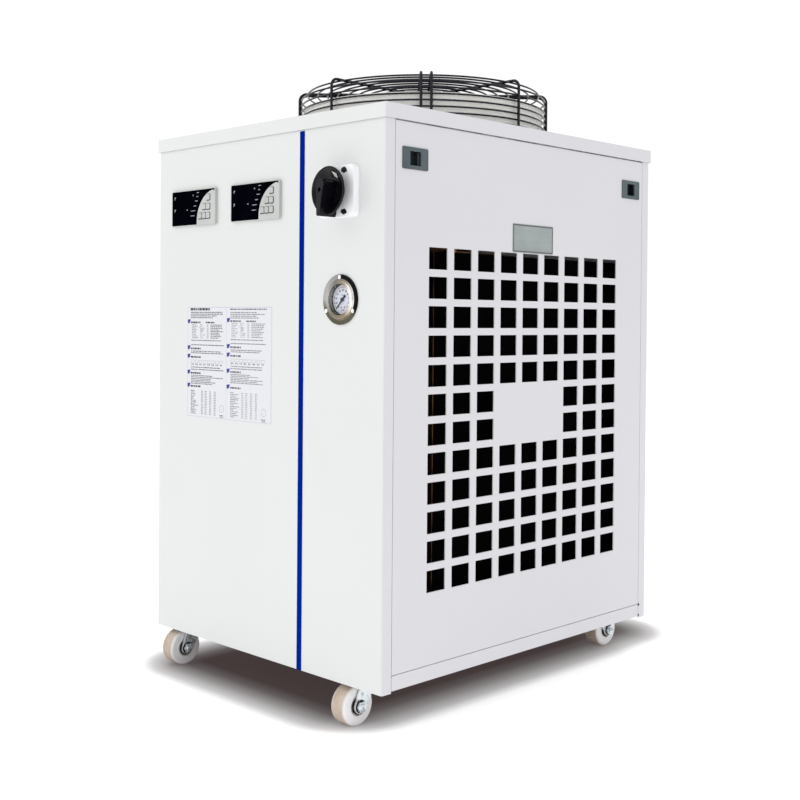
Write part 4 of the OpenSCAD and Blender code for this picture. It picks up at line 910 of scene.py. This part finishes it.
def soft_world():
    """White all round, a little dimmer from the right."""
    world = bpy.data.worlds.new("studio")
    bpy.context.scene.world = world
    world.use_nodes = True
    tree = world.node_tree
    tree.nodes.clear()
    output = tree.nodes.new("ShaderNodeOutputWorld")
    background = tree.nodes.new("ShaderNodeBackground")
    background.inputs["Color"].default_value = (1.0, 1.0, 1.0, 1.0)
    split = tree.nodes.new("ShaderNodeSeparateXYZ")
    dim = tree.nodes.new("ShaderNodeMapRange")
    tree.links.new(tree.nodes.new("ShaderNodeTexCoord").outputs["Generated"], split.inputs[0])
    tree.links.new(split.outputs["X"], dim.inputs["Value"])
    for name, value in (("From Min", -0.2), ("From Max", 0.9), ("To Min", 1.04), ("To Max", 0.72)):
        dim.inputs[name].default_value = value
    tree.links.new(dim.outputs[0], background.inputs["Strength"])
    tree.links.new(background.outputs[0], output.inputs["Surface"])


def soft_light(name, place, size, power):
    """A square area light that looks at the middle of the cabinet."""
    target = (0.0, 0.0, 0.4)
    light = bpy.data.lights.new(name, "AREA")
    light.size = size
    light.energy = power
    obj = bpy.data.objects.new(name, light)
    obj.location = place
    obj.rotation_euler = (Vector(target) - Vector(place)).to_track_quat("-Z", "Y").to_euler()
    bpy.context.scene.collection.objects.link(obj)


def camera():
    """The photograph's view, fitted to the cabinet's corners."""
    place = (1.22998, -1.26113, 0.49828)
    yaw, pitch, roll = (math.radians(a) for a in (44.668, 0.579, 0.4514))
    level = math.cos(pitch)
    forward = Vector((-math.sin(yaw) * level, math.cos(yaw) * level, -math.sin(pitch)))
    right = Vector((math.cos(yaw), math.sin(yaw), 0.0))
    up = right.cross(forward)
    right, up = (
        math.cos(roll) * right + math.sin(roll) * up,
        math.cos(roll) * up - math.sin(roll) * right,
    )
    data = bpy.data.cameras.new("photo_view")
    data.lens = 53.68
    data.sensor_width = 36.0
    data.shift_y = -0.0865
    data.clip_start = 0.05
    data.dof.use_dof = False
    obj = bpy.data.objects.new("photo_view", data)
    turn = Matrix((right, up, -forward)).transposed().to_4x4()
    obj.matrix_world = Matrix.Translation(place) @ turn
    bpy.context.scene.collection.objects.link(obj)
    bpy.context.scene.camera = obj


dress_nodes()
fin_comb()
instruction_sheet()
bare_plate()
for side in ("left", "right"):
    display_marks(side)
    key_gaps_painted_shade(side)
    window_tail(side)
dial_print()
knob_mark()
screw_pocket_painted_shade()
caster_rings()
corner_rivets()

floor()
soft_world()
soft_light("key", (-1.3, -2.8, 2.1), 1.8, 11.0)
soft_light("fill", (2.6, -0.4, 1.9), 1.6, 3.0)
camera()
bpy.context.scene.view_settings.view_transform = "Standard"
